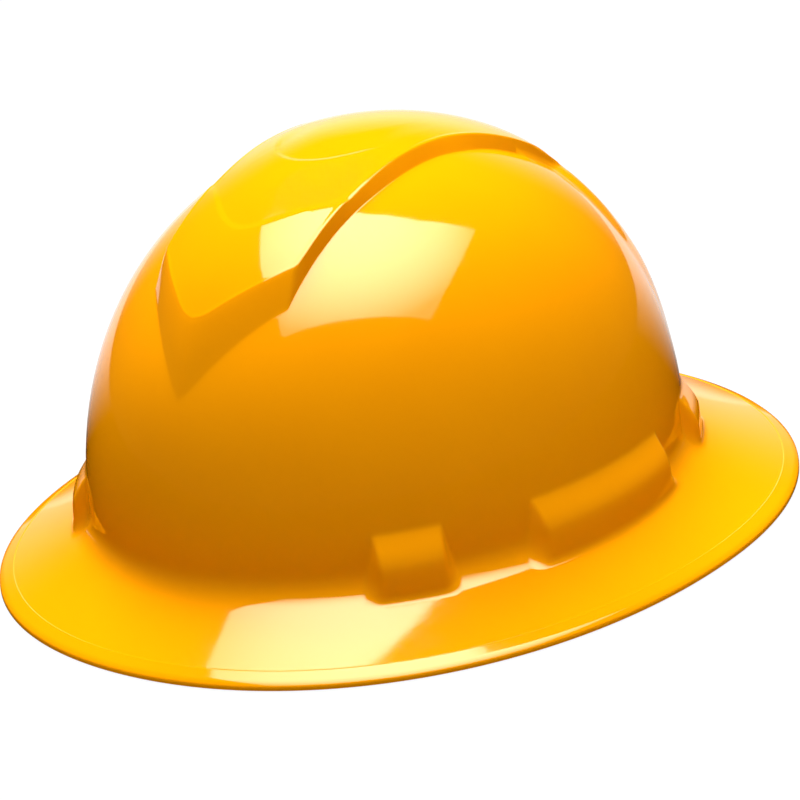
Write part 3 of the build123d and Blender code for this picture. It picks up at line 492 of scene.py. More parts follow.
# %% Pockets and the dome's inside
slot = np.array([column[3] for column in columns])
inner.append(ring_points(slot_outer, under_surface(slot_outer)))
for plain, share, lift in ((0.12, 0.0, 0.5), (0.24, 0.0, 1.0), (0.36, 0.33, 1.0), (0.48, 0.67, 1.0),
                           (0.62, 1.0, 1.0), (0.76, 1.0, 0.5), (0.9, 1.0, 0.0)):
    radius = slot_outer + (wall_radius - slot_outer) * np.where(slot > 0, share, plain)
    surface = under_surface(radius)
    level = surface + slot * lift * (POCKET_TOP - surface)
    inner.append(ring_points(radius, level))
level_low = under_surface(wall_radius)
for share in np.linspace(0, 1, 8)[1:]:
    level = level_low + (arc_two - level_low) * share
    drop = np.clip(arc_two - level, 0, radius_two)
    radius = inner_wall + radius_two - np.sqrt(np.maximum(radius_two ** 2 - drop ** 2, 0))
    inner.append(ring_points(radius, level))
t_table = np.linspace(0, 0.3, 300)
t_low = np.interp(arc_two, JUNCTION + inner_height * dome_profile(t_table)[1], t_table)
for share in np.linspace(0, 1, 20)[1:]:
    rho, zeta, _, _ = dome_profile(t_low + (0.995 - t_low) * share)
    inner.append(ring_points(rho * inner_wall, JUNCTION + inner_height * zeta))
print("rings of the inside", len(inner))

# %% [markdown]
# ## Shell mesh
# The rings of the inside and of the outside meet at the rim, so one loop over all of them makes a closed skin.
# The two poles are closed with triangles. The same helper, for any rows of points, makes the straps later.

# %% Mesh of the shell


def link_piece(name, mesh):
    """Puts a finished mesh into the scene as a piece of its own."""
    mesh.shade_smooth()
    piece = bpy.data.objects.new(name, mesh)
    bpy.context.scene.collection.objects.link(piece)
    return piece


def rows_to_faces(rows, count):
    """Quads between closed rows of `count` points each."""
    faces = []
    for level in range(rows - 1):
        for index in range(count):
            following = (index + 1) % count
            faces.append((level * count + index, level * count + following,
                          (level + 1) * count + following, (level + 1) * count + index))
    return faces


def shell_mesh(name):
    """One closed mesh from the outer rings and the inner rings, joined at the rim."""
    count = len(PHI)
    rings = inner[::-1] + outer
    crown = np.array([[0, CENTRE_Y, JUNCTION + inner_height], [0, CENTRE_Y, JUNCTION + HEIGHT + PANEL]])
    vertices = np.concatenate([np.concatenate(rings) * MM, crown * MM])
    faces = rows_to_faces(len(rings), count)
    last, top = (len(rings) - 1) * count, len(rings) * count
    for index in range(count):
        following = (index + 1) % count
        faces.append((top, following, index))
        faces.append((last + index, last + following, top + 1))
    mesh = bpy.data.meshes.new(name)
    mesh.from_pydata(vertices.tolist(), [], faces)
    mesh.validate()
    return link_piece(name, mesh)


shell = shell_mesh("shell_moulding")
print("shell quads", len(shell.data.polygons))
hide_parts("shell")
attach(shell, "hat")

# %% [markdown]
# ## Materials
# Moulded plastic is never one flat colour: the pigment varies a little, the mould leaves a grain, and handling
# leaves patches of more and less gloss. Small helpers add one node each, with sizes in millimetres, so that each
# finish can be read as a recipe. All patterns stand in the piece's own Object coordinates.

# %% Helpers for the finishes


def new_material(name):
    material = bpy.data.materials.new(name)
    material.use_nodes = True
    nodes = material.node_tree.nodes
    return material, nodes, material.node_tree.links, nodes["Principled BSDF"]


def noise(nodes, links, place, size, detail=2.0):
    """A noise whose blobs are about `size` millimetres wide."""
    node = nodes.new("ShaderNodeTexNoise")
    node.inputs["Scale"].default_value = 1 / (size * MM)
    node.inputs["Detail"].default_value = detail
    links.new(place, node.inputs["Vector"])
    return node.outputs[0]


def spread(nodes, links, value, low, high, from_low=0.3, from_high=0.7, way="LINEAR"):
    """Carries a value from one range to another, and keeps it inside."""
    node = nodes.new("ShaderNodeMapRange")
    node.interpolation_type = way
    links.new(value, node.inputs["Value"])
    for name, number in (("From Min", from_low), ("From Max", from_high), ("To Min", low), ("To Max", high)):
        node.inputs[name].default_value = number
    return node.outputs[0]


def colour_between(nodes, links, factor, first, second):
    node = nodes.new("ShaderNodeMix")
    node.data_type = "RGBA"
    links.new(factor, node.inputs[0])
    node.inputs[6].default_value = (*first, 1)
    node.inputs[7].default_value = (*second, 1)
    return node.outputs[2]


def bumped(nodes, links, shader, height, depth):
    """Lets a height of `depth` millimetres turn the surface's normal."""
    node = nodes.new("ShaderNodeBump")
    node.inputs["Strength"].default_value = 1.0
    node.inputs["Distance"].default_value = depth * MM
    links.new(height, node.inputs["Height"])
    links.new(node.outputs[0], shader.inputs["Normal"])


print("helpers for the finishes are ready")

# %% [markdown]
# ## Plastic
# The shell is polished polyethylene: deep yellow, a very low roughness, and a grain so shallow that it only
# softens the edges of what it mirrors. Hangers, band and knob are duller nylon. One function makes them all.

# %% Yellow shell and black suspension


def plastic(name, colour, roughness, grain, depth, drift=0.08, haze=0.06):
    """Moulded plastic: pigment drift, mould grain of `grain` mm and `depth` mm, and patches of haze."""
    material, nodes, links, shader = new_material(name)
    place = nodes.new("ShaderNodeTexCoord").outputs["Object"]
    darker, lighter = [c * (1 - drift) for c in colour], [min(c * (1 + drift), 1) for c in colour]
    pigment = spread(nodes, links, noise(nodes, links, place, 24.0), 0.0, 1.0)
    links.new(colour_between(nodes, links, pigment, darker, lighter), shader.inputs["Base Color"])
    links.new(spread(nodes, links, noise(nodes, links, place, 5.0, 5.0), roughness - haze, roughness + haze),
              shader.inputs["Roughness"])
    bumped(nodes, links, shader, noise(nodes, links, place, grain, 3.0), depth)
    return material, shader


def paint(material, *names):
    """Puts a material on CAD nodes in place of their own."""
    for name in names:
        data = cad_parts[name].data
        data.materials.clear()
        data.materials.append(material)
    print(material.name, "on", ", ".join(names))


yellow, shader = plastic("shell_yellow", (1.0, 0.345, 0.0), 0.055, 9.0, 0.004, 0.012, 0.02)
shader.inputs["IOR"].default_value = 1.6
shader.inputs["Specular IOR Level"].default_value = 0.68
shader.inputs["Specular Tint"].default_value = (1.0, 0.97, 0.68, 1)
shell.data.materials.clear()
shell.data.materials.append(yellow)

hanger_grey, _ = plastic("hanger_grey", (0.16, 0.16, 0.168), 0.46, 0.35, 0.02)
paint(hanger_grey, "key_front_left", "key_front_right", "key_rear_left", "key_rear_right")
band_black, _ = plastic("band_black", (0.022, 0.022, 0.024), 0.42, 0.5, 0.03)
paint(band_black, "headband", "rack_left", "rack_right", "ratchet_housing", "ratchet_back_plate", "pinion")
knob_black, _ = plastic("knob_black", (0.03, 0.03, 0.032), 0.34, 0.8, 0.02)
paint(knob_black, "ratchet_knob")

# %% [markdown]
# ## Metal
# The screws are zinc plated, which clouds in small patches, and the click spring is bright drawn wire. A clouded
# noise drives both the colour and the roughness, so that the dull places are also the dark ones.

# %% Zinc screws and a bright spring


def steel(name, colour, roughness, size):
    material, nodes, links, shader = new_material(name)
    place = nodes.new("ShaderNodeTexCoord").outputs["Object"]
    shader.inputs["Metallic"].default_value = 1.0
    cloud = noise(nodes, links, place, size, 4.0)
    tone = spread(nodes, links, cloud, 0.0, 1.0)
    links.new(colour_between(nodes, links, tone, [c * 0.82 for c in colour], colour), shader.inputs["Base Color"])
    links.new(spread(nodes, links, cloud, roughness * 0.7, roughness * 1.4), shader.inputs["Roughness"])
    bumped(nodes, links, shader, noise(nodes, links, place, 0.25), 0.006)
    return material


paint(steel("zinc_plate", (0.62, 0.63, 0.64), 0.3, 1.5), "housing_screws", "axle_screw")
paint(steel("bright_spring", (0.6, 0.6, 0.6), 0.18, 3.0), "click_spring")

# %% [markdown]
# ## Webbing straps
# Two woven straps cross under the crown and carry the hat's weight on the head. A real one is cut from a roll,
# looped round the hanger's bar at each end, folded back on itself and sewn down. Here each strap is one flat
# ribbon swept along that very path, from one folded end to the other, which keeps the fold's true thickness.

# %% Path of a strap
STRAP_WIDTH, STRAP_THICK, FOLD_LENGTH, FOLD_LAYER = 19.0, 1.4, 15.0, 1.5
BAR_INSET, BAR_LEVEL, CROWN_RISE, ARCH_POWER = 10.75, 52.2, 55.5, 0.87
BAR_LOOP = [(-10.7, 55.2), (-10.45, 53.9), (-9.6, 52.7), (-8.65, 51.6), (-8.4, 50.2), (-8.4, 46.9), (-8.75, 45.8),
            (-9.7, 45.3), (-10.75, 45.25), (-11.8, 45.3), (-12.75, 45.8), (-13.1, 46.9), (-13.1, 50.2),
            (-13.0, 51.8), (-12.7, 53.4), (-12.4, 55.0)]
HEAD_MIDDLE = np.array([0.0, 0.0, 40.0])


def boss_place(angle):
    """Place of a boss on the dome's foot, in plan, and its outward direction."""
    turn = math.radians(angle)
    out = np.array([math.sin(turn) / HALF_WIDTH, -math.cos(turn) / HALF_LENGTH])
    place = np.array([HALF_WIDTH * math.sin(turn), CENTRE_Y - HALF_LENGTH * math.cos(turn)])
    return place, out / np.linalg.norm(out)


def unit_rows(rows):
    return rows / np.linalg.norm(rows, axis=1, keepdims=True)


def run_along(points):
    """Length along a path at each of its points."""
    return np.concatenate([[0], np.cumsum(np.linalg.norm(np.diff(points, axis=0), axis=1))])


def fold_back(points, sides):
    """The folded end, one layer further in, over the first stretch of the strap."""
    tangent = unit_rows(np.gradient(points, axis=0))
    inward = unit_rows(np.cross(tangent, sides))
    if (inward[0] @ (HEAD_MIDDLE - points[0])) < 0:
        inward = -inward
    near = run_along(points) < FOLD_LENGTH
    return (points + inward * FOLD_LAYER)[near], sides[near], inward[near]


def strap_arch(first, last, lift):
    """The arch over the head between two bosses, with the direction of its width."""
    (a, out_a), (b, out_b) = boss_place(first), boss_place(last)
    start, finish = a - out_a * BAR_INSET, b - out_b * BAR_INSET
    middle, run = (start + finish) / 2, finish - start
    square = np.array([-run[1], run[0]]) / np.linalg.norm(run)
    t = np.linspace(0.0, math.pi, 241)
    reach = -np.copysign(np.abs(np.cos(t)) ** ARCH_POWER, np.cos(t))
    climb = np.sin(t).clip(0) ** ARCH_POWER
    height = BAR_LEVEL + (CROWN_RISE + lift) * climb
    path = np.concatenate([middle + run * reach[:, None] / 2, height[:, None]], axis=1)
    side = np.zeros((len(t), 3))
    for index in range(len(t)):
        out = out_a if reach[index] < 0 else out_b
        across = np.array([out[1], -out[0]])
        across = across if across @ square > 0 else -across
        side[index, :2] = across * abs(reach[index]) ** 4 + square * (1 - abs(reach[index]) ** 4)
    above = path[:, 2] > 56.5
    return path[above], unit_rows(side[above]), (a, out_a), (b, out_b)


def strap_path(first, last, lift):
    """The whole path, from fold to fold, and the two folds for their stitches."""
    path, side, *ends = strap_arch(first, last, lift)
    fold_a, fold_b = fold_back(path, side), fold_back(path[::-1], side[::-1])
    loop_a, loop_b = (np.array([[*(place + out * radial), z] for radial, z in BAR_LOOP]) for place, out in ends)
    points = np.concatenate([fold_a[0][::-1], loop_a[::-1], path, loop_b, fold_b[0]])
    sides = np.concatenate([fold_a[1][::-1], np.repeat(side[:1], len(loop_a), 0), side,
                            np.repeat(side[-1:], len(loop_b), 0), fold_b[1]])
    for _ in range(2):
        points[1:-1] = points[1:-1] * 0.5 + (points[:-2] + points[2:]) * 0.25
    return points, sides, (fold_a, fold_b)


print("straps", STRAP_WIDTH, "by", STRAP_THICK, "mm, folds of", FOLD_LENGTH, "mm")

# %% [markdown]
# The ribbon's section has soft edges and a slight bead along them, as woven edges have. Its UV map is in
# millimetres across and along the strap, so that the weave later has its true size and never stretches.

# %% Sweep the two ribbons
SECTION_HALF = STRAP_WIDTH / 2
SECTION_ACROSS = [-SECTION_HALF, -SECTION_HALF + 0.15, -SECTION_HALF + 0.6, -SECTION_HALF + 1.6,
                  -SECTION_HALF * 0.4, SECTION_HALF * 0.4, SECTION_HALF - 1.6, SECTION_HALF - 0.6,
                  SECTION_HALF - 0.15, SECTION_HALF]
SECTION_SHARE = [0.3, 0.75, 0.97, 1.04, 1.0, 1.0, 1.04, 0.97, 0.75, 0.3]


def pick(stops, run, table):
    """Rows of a table at given lengths along a path."""
    return np.stack([np.interp(stops, run, table[:, i]) for i in range(3)], axis=-1)


def even(points, sides, step=1.2):
    """The same path with evenly spaced points."""
    run = run_along(points)
    stops = np.linspace(0, run[-1], int(run[-1] / step) + 1)
    return pick(stops, run, points), unit_rows(pick(stops, run, sides)), stops


def face_out(mesh):
    """Turns every face outward."""
    shape = bmesh.new()
    shape.from_mesh(mesh)
    bmesh.ops.recalc_face_normals(shape, faces=shape.faces)
    shape.to_mesh(mesh)
    shape.free()


def ribbon(name, points, sides, thick):
    """A flat ribbon with soft edges, swept along a path; its UV map holds millimetres."""
    points, sides, stops = even(points, sides)
    tangent = unit_rows(np.gradient(points, axis=0))
    normals = unit_rows(np.cross(tangent, sides))
    edge = thick / 2
    section = [(u, h * edge) for u, h in zip(SECTION_ACROSS, SECTION_SHARE)]
    section += [(u, -h * edge) for u, h in zip(SECTION_ACROSS[::-1], SECTION_SHARE[::-1])]
    rings, count = [], len(section)
    for point, side, normal in zip(points, sides, normals):
        rings.append([point + side * u + normal * h for u, h in section])
    vertices = np.array(rings).reshape(-1, 3) * MM
    faces = rows_to_faces(len(points), count)
    last = (len(points) - 1) * count
    faces += [tuple(range(count)), tuple(last + index for index in reversed(range(count)))]
    uvs = []
    for here, there in zip(stops[:-1], stops[1:]):
        for index in range(count):
            u0, u1 = section[index][0], section[(index + 1) % count][0]
            uvs += [(u0, here), (u1, here), (u1, there), (u0, there)]
    uvs += [(u, 0.0) for u, _ in section] + [(u, stops[-1]) for u, _ in section[::-1]]
    mesh = bpy.data.meshes.new(name)
    mesh.from_pydata(vertices.tolist(), [], faces)
    mesh.uv_layers.new(name="weave").data.foreach_set("uv", np.array(uvs, dtype=float).ravel())
    face_out(mesh)
    return link_piece(name, mesh)


straps, folds = [], []
for name, node, first, last, lift in (("strap_low", "strap_from_front_left", 45.1, -124.0, 0.0),
                                      ("strap_high", "strap_from_front_right", -45.1, 124.0, 2.3)):
    points, sides, both_folds = strap_path(first, last, lift)
    piece = ribbon(name, points, sides, STRAP_THICK)
    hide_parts(node)
    straps.append(piece)
    folds += both_folds
    print(name, "length", round(float(run_along(points)[-1])), "mm")

# %% [markdown]
# ## Weave
# The weave is a plain one: across the strap the threads pass over and under, and each row is shifted by half a
# thread. The gaps between threads are painted darker, as painted shade, and loose fibres give the cloth its soft
# sheen. Arithmetic on the UV map makes it, because a picture of cloth would need a file and would repeat.

# %% Woven finish


def arithmetic(nodes, links, operation, *values):
    node = nodes.new("ShaderNodeMath")
    node.operation = operation
    for socket, value in zip(node.inputs, values):
        if isinstance(value, (int, float)):
            socket.default_value = value
        else:
            links.new(value, socket)
    return node.outputs[0]


def woven(name, dark, light, thread_across, thread_along, depth, sheen):
    """Plain weave, with threads of the given sizes in millimetres."""
    material, nodes, links, shader = new_material(name)
    uv = nodes.new("ShaderNodeUVMap")
    uv.uv_map = "weave"
    parts = nodes.new("ShaderNodeSeparateXYZ")
    links.new(uv.outputs[0], parts.inputs[0])

    def step(*values):
        return arithmetic(nodes, links, *values)

    column = step("DIVIDE", parts.outputs[0], thread_across)
    odd = step("MODULO", step("ABSOLUTE", step("FLOOR", column)), 2.0)
    row = step("ADD", step("DIVIDE", parts.outputs[1], thread_along), step("MULTIPLY", odd, 0.5))
    over = step("SINE", step("MULTIPLY", step("FRACT", row), math.pi))
    round_thread = step("SINE", step("MULTIPLY", step("FRACT", column), math.pi))
    height = step("MULTIPLY", over, step("POWER", round_thread, 0.6))
    place = nodes.new("ShaderNodeTexCoord").outputs["Object"]
    fibre = noise(nodes, links, place, 0.3, 4.0)
    # Painted shade: the colour darkens where the thread height is low, in the gaps between threads, mixed with a
    # random fibre tone.
    shade = step("MULTIPLY_ADD", fibre, 0.5, step("MULTIPLY", height, 0.7))
    links.new(colour_between(nodes, links, shade, dark, light), shader.inputs["Base Color"])
    links.new(spread(nodes, links, fibre, 0.78, 0.95), shader.inputs["Roughness"])
    shader.inputs["Sheen Weight"].default_value = sheen
    bumped(nodes, links, shader, step("MULTIPLY_ADD", fibre, 0.25, height), depth)
    return material


webbing = woven("webbing_black", (0.012, 0.012, 0.013), (0.07, 0.07, 0.074), 0.8, 1.3, 0.12, 0.2)
for piece in straps:
    piece.data.materials.append(webbing)
    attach(piece, "hat")
print(webbing.name, "on", len(straps), "straps")

# %% [markdown]
# ## Sweat pads
# The brow pad and the nape pad are thin foam between two layers of napped cloth, sewn flat round the edge. They
# could be sculpted, but cloth that is really blown up inside its seam finds its own creases. So each starts as
# a flat-edged blank bent to the band, with its back and its seam held.

# %% Blank of a pad
PAD_RADIUS, SEAM, PAD_CORNER, PAD_GRID = 76.6, 2.6, 7.0, 1.7
CLOTH_THICK, FOAM_THICK = 0.35, 1.5


def pad_place(inset, centre_y, angle, z):
    """A point on the band's inner side, moved in by a distance."""
    r = PAD_RADIUS - inset
    return r * math.sin(angle), centre_y - r * math.cos(angle), z


def pad_blank(name, centre_y, facing, half_angle, low, high):
    """Closed pad on the band's inner side, with a vertex group that holds its back and its seam."""
    half_run, half_rise = math.radians(half_angle) * PAD_RADIUS, (high - low) / 2
    columns_pad = int(math.radians(half_angle) * 2 * PAD_RADIUS / PAD_GRID)
    rows_pad = max(int((high - low) / PAD_GRID), 8)
    vertices, hold, uvs = [], [], []
    for layer in (0, 1):
        for i in range(columns_pad + 1):
            for j in range(rows_pad + 1):
                run = -half_run + 2 * half_run * i / columns_pad
                inset = max(PAD_CORNER - (half_run - abs(run)), 0.0)
                trim = PAD_CORNER - math.sqrt(max(PAD_CORNER ** 2 - inset ** 2, 0.0))
                rise = (-1 + 2 * j / rows_pad) * (half_rise - trim)
                edge = min(half_run - abs(run), half_rise - trim - abs(rise))
                thick = CLOTH_THICK + FOAM_THICK * float(smooth_step(np.array((edge - SEAM + 0.6) / 3.5)))
                angle = facing + run / PAD_RADIUS
                vertices.append(pad_place(thick * layer, centre_y, angle, (low + high) / 2 + rise))
                hold.append(1.0 if layer == 0 or edge <= SEAM + 0.1 else 0.0)
                uvs.append((run, rise))
    faces = []
    stride, total = rows_pad + 1, (columns_pad + 1) * (rows_pad + 1)
    for i in range(columns_pad):
        for j in range(rows_pad):
            a, b = i * stride + j, (i + 1) * stride + j
            faces += [(a, b, b + 1, a + 1), (total + a + 1, total + b + 1, total + b, total + a)]
    border = [i * stride for i in range(columns_pad)]
    border += [columns_pad * stride + j for j in range(rows_pad)]
    border += [i * stride + rows_pad for i in range(columns_pad, 0, -1)] + list(range(rows_pad, 0, -1))
    for a, b in zip(border, border[1:] + border[:1]):
        faces.append((b, a, total + a, total + b))
    mesh = bpy.data.meshes.new(name)
    mesh.from_pydata([tuple(c * MM for c in v) for v in vertices], [], faces)
    face_out(mesh)
    layer_uv = mesh.uv_layers.new(name="weave")
    for loop in mesh.loops:
        layer_uv.data[loop.index].uv = uvs[loop.vertex_index]
    piece = link_piece(name, mesh)
    group = piece.vertex_groups.new(name="seam")
    for index, value in enumerate(hold):
        group.add([index], value, "REPLACE")
    return piece


print("pads on a band of", PAD_RADIUS, "mm radius")

# %% [markdown]
# Cloth simulation then fills the field inside the seam. The cloth is a little larger than the blank, so that it
# swells and creases as sewn cloth does. The movement is capped, because foam only gives way so far, and one
# subdivision rounds what the simulation left.

# %% Swell the two pads
LAST_FRAME, MOST_SWELL, DEEPEST = 20, 3.0, 3.6


def blow_up(piece):
    """Places of the vertices before and after the cloth simulation."""
    cloth = piece.modifiers.new("cloth", "CLOTH")
    cloth.settings.quality = 6
    cloth.settings.mass = 0.15
    cloth.settings.tension_stiffness = 12
    cloth.settings.compression_stiffness = 12
    cloth.settings.bending_stiffness = 0.05
    cloth.settings.shrink_min = -0.035
    cloth.settings.vertex_group_mass = "seam"
    cloth.settings.use_pressure = True
    cloth.settings.uniform_pressure_force = 4.0
    cloth.settings.effector_weights.gravity = 0.0
    cloth.collision_settings.use_collision = False
    cloth.point_cache.frame_start, cloth.point_cache.frame_end = 1, LAST_FRAME
    scene = bpy.context.scene
    before = np.array([v.co for v in piece.data.vertices])
    for number in range(1, LAST_FRAME + 1):
        scene.frame_set(number)
    swollen = piece.evaluated_get(bpy.context.evaluated_depsgraph_get())
    after = np.array([v.co for v in swollen.data.vertices])
    piece.modifiers.remove(cloth)
    scene.frame_set(1)
    return before, after


def swell(piece, centre_y):
    """The simulated swelling, its movement capped, then one subdivision."""
    before, after = blow_up(piece)
    centre = np.array([0.0, centre_y]) * MM
    plan = after[:, :2] - centre
    distance = np.linalg.norm(plan, axis=1)
    held = np.clip(distance, (PAD_RADIUS - DEEPEST) * MM, PAD_RADIUS * MM)
    after[:, :2] = centre + plan * (held / distance)[:, None]
    move = after - before
    length = np.linalg.norm(move, axis=1, keepdims=True)
    move *= np.minimum(1, MOST_SWELL * MM / np.maximum(length, 1e-9))
    piece.data.vertices.foreach_set("co", (before + move).ravel())
    piece.data.update()
    print(piece.name, "swelled by", round(float(length.max()) / MM, 2), "mm")
    smooth = piece.modifiers.new("smooth", "SUBSURF")
    smooth.levels = smooth.render_levels = 1
    plain_mesh(piece, smooth)
    piece.vertex_groups.clear()


def plain_mesh(piece, modifier):
    """Puts the modifier's result in the piece's own mesh, and takes the modifier off."""
    made = bpy.data.meshes.new_from_object(piece.evaluated_get(bpy.context.evaluated_depsgraph_get()))
    piece.modifiers.remove(modifier)
    piece.data = made
    made.shade_smooth()


# The pad cloth is the same weave, so its gaps between threads are also painted darker as painted shade.
napped = woven("pad_cloth_black", (0.016, 0.016, 0.018), (0.062, 0.062, 0.068), 0.55, 0.55, 0.08, 0.45)
pads = []
for name, node, centre_y, facing, half_angle, low, high in (
        ("brow_sweat_pad", "brow_pad", -23.0, 0.0, 71.8, 8.2, 32.8),
        ("nape_sweat_pad", "nape_pad", 7.0, math.pi, 20.8, 6.7, 34.3)):
    pad = pad_blank(name, centre_y, facing, half_angle, low, high)
    swell(pad, centre_y)
    pad.data.materials.clear()
    pad.data.materials.append(napped)
    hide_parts(node)
    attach(pad, "hat")
    pads.append((centre_y, facing, half_angle, low, high))

# %% [markdown]
# ## Stitches
# A box of stitches holds each folded strap end, and a lockstitch runs round each pad just outside its foam. One
# stitch is a short thick thread. Each could be modelled, but Geometry Nodes sets it along the seam lines at an
# even pitch, each turned a little, and a new pitch is one number.

# %% Tree that sews
STITCH_INPUTS = (("Pitch", 0.0026), ("Stitch Length", 0.0021), ("Thread Radius", 0.00026))
WOBBLE = 0.06


def seam_tree(name, thread):
    """Tree that sets stitches along the edges of a guide."""
    tree = bpy.data.node_groups.new(name, "GeometryNodeTree")
    tree.interface.new_socket("Geometry", in_out="INPUT", socket_type="NodeSocketGeometry")
    for label, value in STITCH_INPUTS:
        tree.interface.new_socket(label, in_out="INPUT", socket_type="NodeSocketFloat").default_value = value
    tree.interface.new_socket("Seed", in_out="INPUT", socket_type="NodeSocketInt").default_value = 7
    tree.interface.new_socket("Geometry", in_out="OUTPUT", socket_type="NodeSocketGeometry")
    given, result, to_curve, points, stitch, size, half, place, wobble, turn, real, finish = (
        tree.nodes.new(kind) for kind in (
            "NodeGroupInput", "NodeGroupOutput", "GeometryNodeMeshToCurve", "GeometryNodeCurveToPoints",
            "GeometryNodeMeshUVSphere", "ShaderNodeCombineXYZ", "ShaderNodeMath", "GeometryNodeInstanceOnPoints",
            "FunctionNodeRandomValue", "GeometryNodeRotateInstances", "GeometryNodeRealizeInstances",
            "GeometryNodeSetMaterial"))
    points.mode = "LENGTH"
    for label, number in (("Segments", 8), ("Rings", 6), ("Radius", 1.0)):
        stitch.inputs[label].default_value = number
    half.operation = "MULTIPLY"
    half.inputs[1].default_value = 0.5
    wobble.data_type = "FLOAT_VECTOR"
    wobble.inputs[0].default_value = (-WOBBLE, -WOBBLE, -WOBBLE)
    wobble.inputs[1].default_value = (WOBBLE, WOBBLE, WOBBLE)
    finish.inputs["Material"].default_value = thread
    for source, socket in (
            (given.outputs["Geometry"], to_curve.inputs[0]), (to_curve.outputs[0], points.inputs[0]),
            (given.outputs["Pitch"], points.inputs["Length"]), (points.outputs["Points"], place.inputs["Points"]),
            (points.outputs["Rotation"], place.inputs["Rotation"]), (stitch.outputs[0], place.inputs["Instance"]),
            (given.outputs["Stitch Length"], half.inputs[0]), (given.outputs["Thread Radius"], size.inputs[0]),
            (given.outputs["Thread Radius"], size.inputs[1]), (half.outputs[0], size.inputs[2]),
            (size.outputs[0], place.inputs["Scale"]), (given.outputs["Seed"], wobble.inputs["Seed"]),
            (place.outputs[0], turn.inputs["Instances"]), (wobble.outputs[0], turn.inputs["Rotation"]),
            (turn.outputs[0], real.inputs[0]), (real.outputs[0], finish.inputs[0]),
            (finish.outputs[0], result.inputs[0])):
        tree.links.new(source, socket)
    return tree


def sew(name, lines, thread, slot_name, **values):
    """Stitches along lines of points in millimetres, as a plain mesh."""
    vertices, edges = [], []
    for line in lines:
        first = len(vertices)
        vertices += [tuple(np.array(point) * MM) for point in line]
        edges += [(first + i, first + i + 1) for i in range(len(line) - 1)]
    guide = bpy.data.meshes.new(name + "_guide")
    guide.from_pydata(vertices, edges, [])
    piece = bpy.data.objects.new(name, guide)
    bpy.context.scene.collection.objects.link(piece)
    tree = seam_tree(name + "_tree", thread)
    modifier = piece.modifiers.new("sew", "NODES")
    modifier.node_group = tree
    for item in tree.interface.items_tree:
        if item.in_out == "INPUT" and item.name in values:
            modifier[item.identifier] = values[item.name]
    piece.update_tag()
    plain_mesh(piece, modifier)
    piece.data.materials.clear()
    piece.data.materials.append(thread)
    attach(piece, "hat")
    print(name, "polygons", len(piece.data.polygons))


thread, _ = plastic("sewing_thread", (0.09, 0.09, 0.095), 0.7, 0.2, 0.05)

# %% [markdown]
# A strap's stitches form a box with one diagonal, the usual way to sew a fold that has to carry load. The lines
# lie on the fold's inner face, half a thread deep in the cloth.

# %% Sew the straps
BOX_HALF = 6.8
box_lines = []
for points, sides, inward in folds:
    run = run_along(points)
    lift = STRAP_THICK / 2 + 0.06

    def on_strap(along, across):
        return pick(along, run, points) + pick(along, run, sides) * across + pick(along, run, inward) * lift

    low_end, high_end = 2.2, run[-1] - 1.8
    box = [on_strap(a, BOX_HALF) for a in np.linspace(low_end, high_end, 9)]
    box += [on_strap(high_end, u) for u in np.linspace(BOX_HALF, -BOX_HALF, 9)[1:]]
    box += [on_strap(a, -BOX_HALF) for a in np.linspace(high_end, low_end, 9)[1:]]
    box += [on_strap(low_end, u) for u in np.linspace(-BOX_HALF, BOX_HALF, 9)[1:]]
    box_lines.append(box)
    box_lines.append([on_strap(low_end + (high_end - low_end) * s, BOX_HALF * (1 - 2 * s))
                      for s in np.linspace(0.04, 0.96, 12)])
sew("strap_stitches", box_lines, thread, "webbing", **{"Pitch": 0.0024, "Stitch Length": 0.0020, "Seed": 11})

# %% [markdown]
# A pad's seam is a rectangle with round corners, bent to the band. It is first drawn flat, then shared out in
# short pieces, so that the stitches follow the bend.

# %% Sew the pads
SEAM_INSET, SEAM_CORNER, SEAM_LIFT = 1.5, 5.5, 0.52
pad_lines = []
for centre_y, facing, half_angle, low, high in pads:
    half_run = math.radians(half_angle) * PAD_RADIUS - SEAM_INSET
    half_rise = (high - low) / 2 - SEAM_INSET
    line = []
    for quarter, (sign_run, sign_rise) in enumerate(((1, 1), (-1, 1), (-1, -1), (1, -1))):
        for step in np.linspace(0, math.pi / 2, 7):
            angle = step + quarter * math.pi / 2
            line.append((sign_run * (half_run - SEAM_CORNER) + SEAM_CORNER * math.cos(angle),
                         sign_rise * (half_rise - SEAM_CORNER) + SEAM_CORNER * math.sin(angle)))
    line.append(line[0])
    dense = []
    for (a0, b0), (a1, b1) in zip(line[:-1], line[1:]):
        count = max(int(math.hypot(a1 - a0, b1 - b0) / 2), 1)
        dense += [(a0 + (a1 - a0) * i / count, b0 + (b1 - b0) * i / count) for i in range(count)]
    dense.append(line[0])
    pad_lines.append([pad_place(SEAM_LIFT, centre_y, facing + a / PAD_RADIUS, (low + high) / 2 + b)
                      for a, b in dense])
sew("pad_stitches", pad_lines, thread, "pad_cloth", **{"Pitch": 0.0030, "Stitch Length": 0.0024, "Seed": 5})

# %% [markdown]
# ## Soft box
# One large soft box hangs a metre over the hat. An area lamp would be simpler, but gloss shows a lamp's shape: so
# each corner was worked out backwards from the four-sided reflection on the dome, in the plane one metre up. It
# is a mesh that glows, brightest over its tubes.

# %% Soft box over the hat
SOFT_LEVEL, SOFT_MIDDLE = 1.0, (0.05, 0.03, 1.0)
SOFT_BRIGHT, SOFT_DIM, SOFT_FALL = 7.6, 1.3, 0.50
soft_corners = [(0.41, 0.64), (0.183, 0.34), (-0.07, 0.185), (-0.36, 0.075), (-0.56, 0.02), (-0.342, -0.31),
                (0.02, -0.745), (0.882, -0.062)]


def staged_face(name, corners, level):
    """One flat face that belongs to the studio, not to the hat."""
    mesh = bpy.data.meshes.new(name)
    mesh.from_pydata([(x, y, level) for x, y in corners], [], [tuple(range(len(corners)))])
    staged = bpy.data.objects.new(name, mesh)
    bpy.context.scene.collection.objects.link(staged)
    return mesh


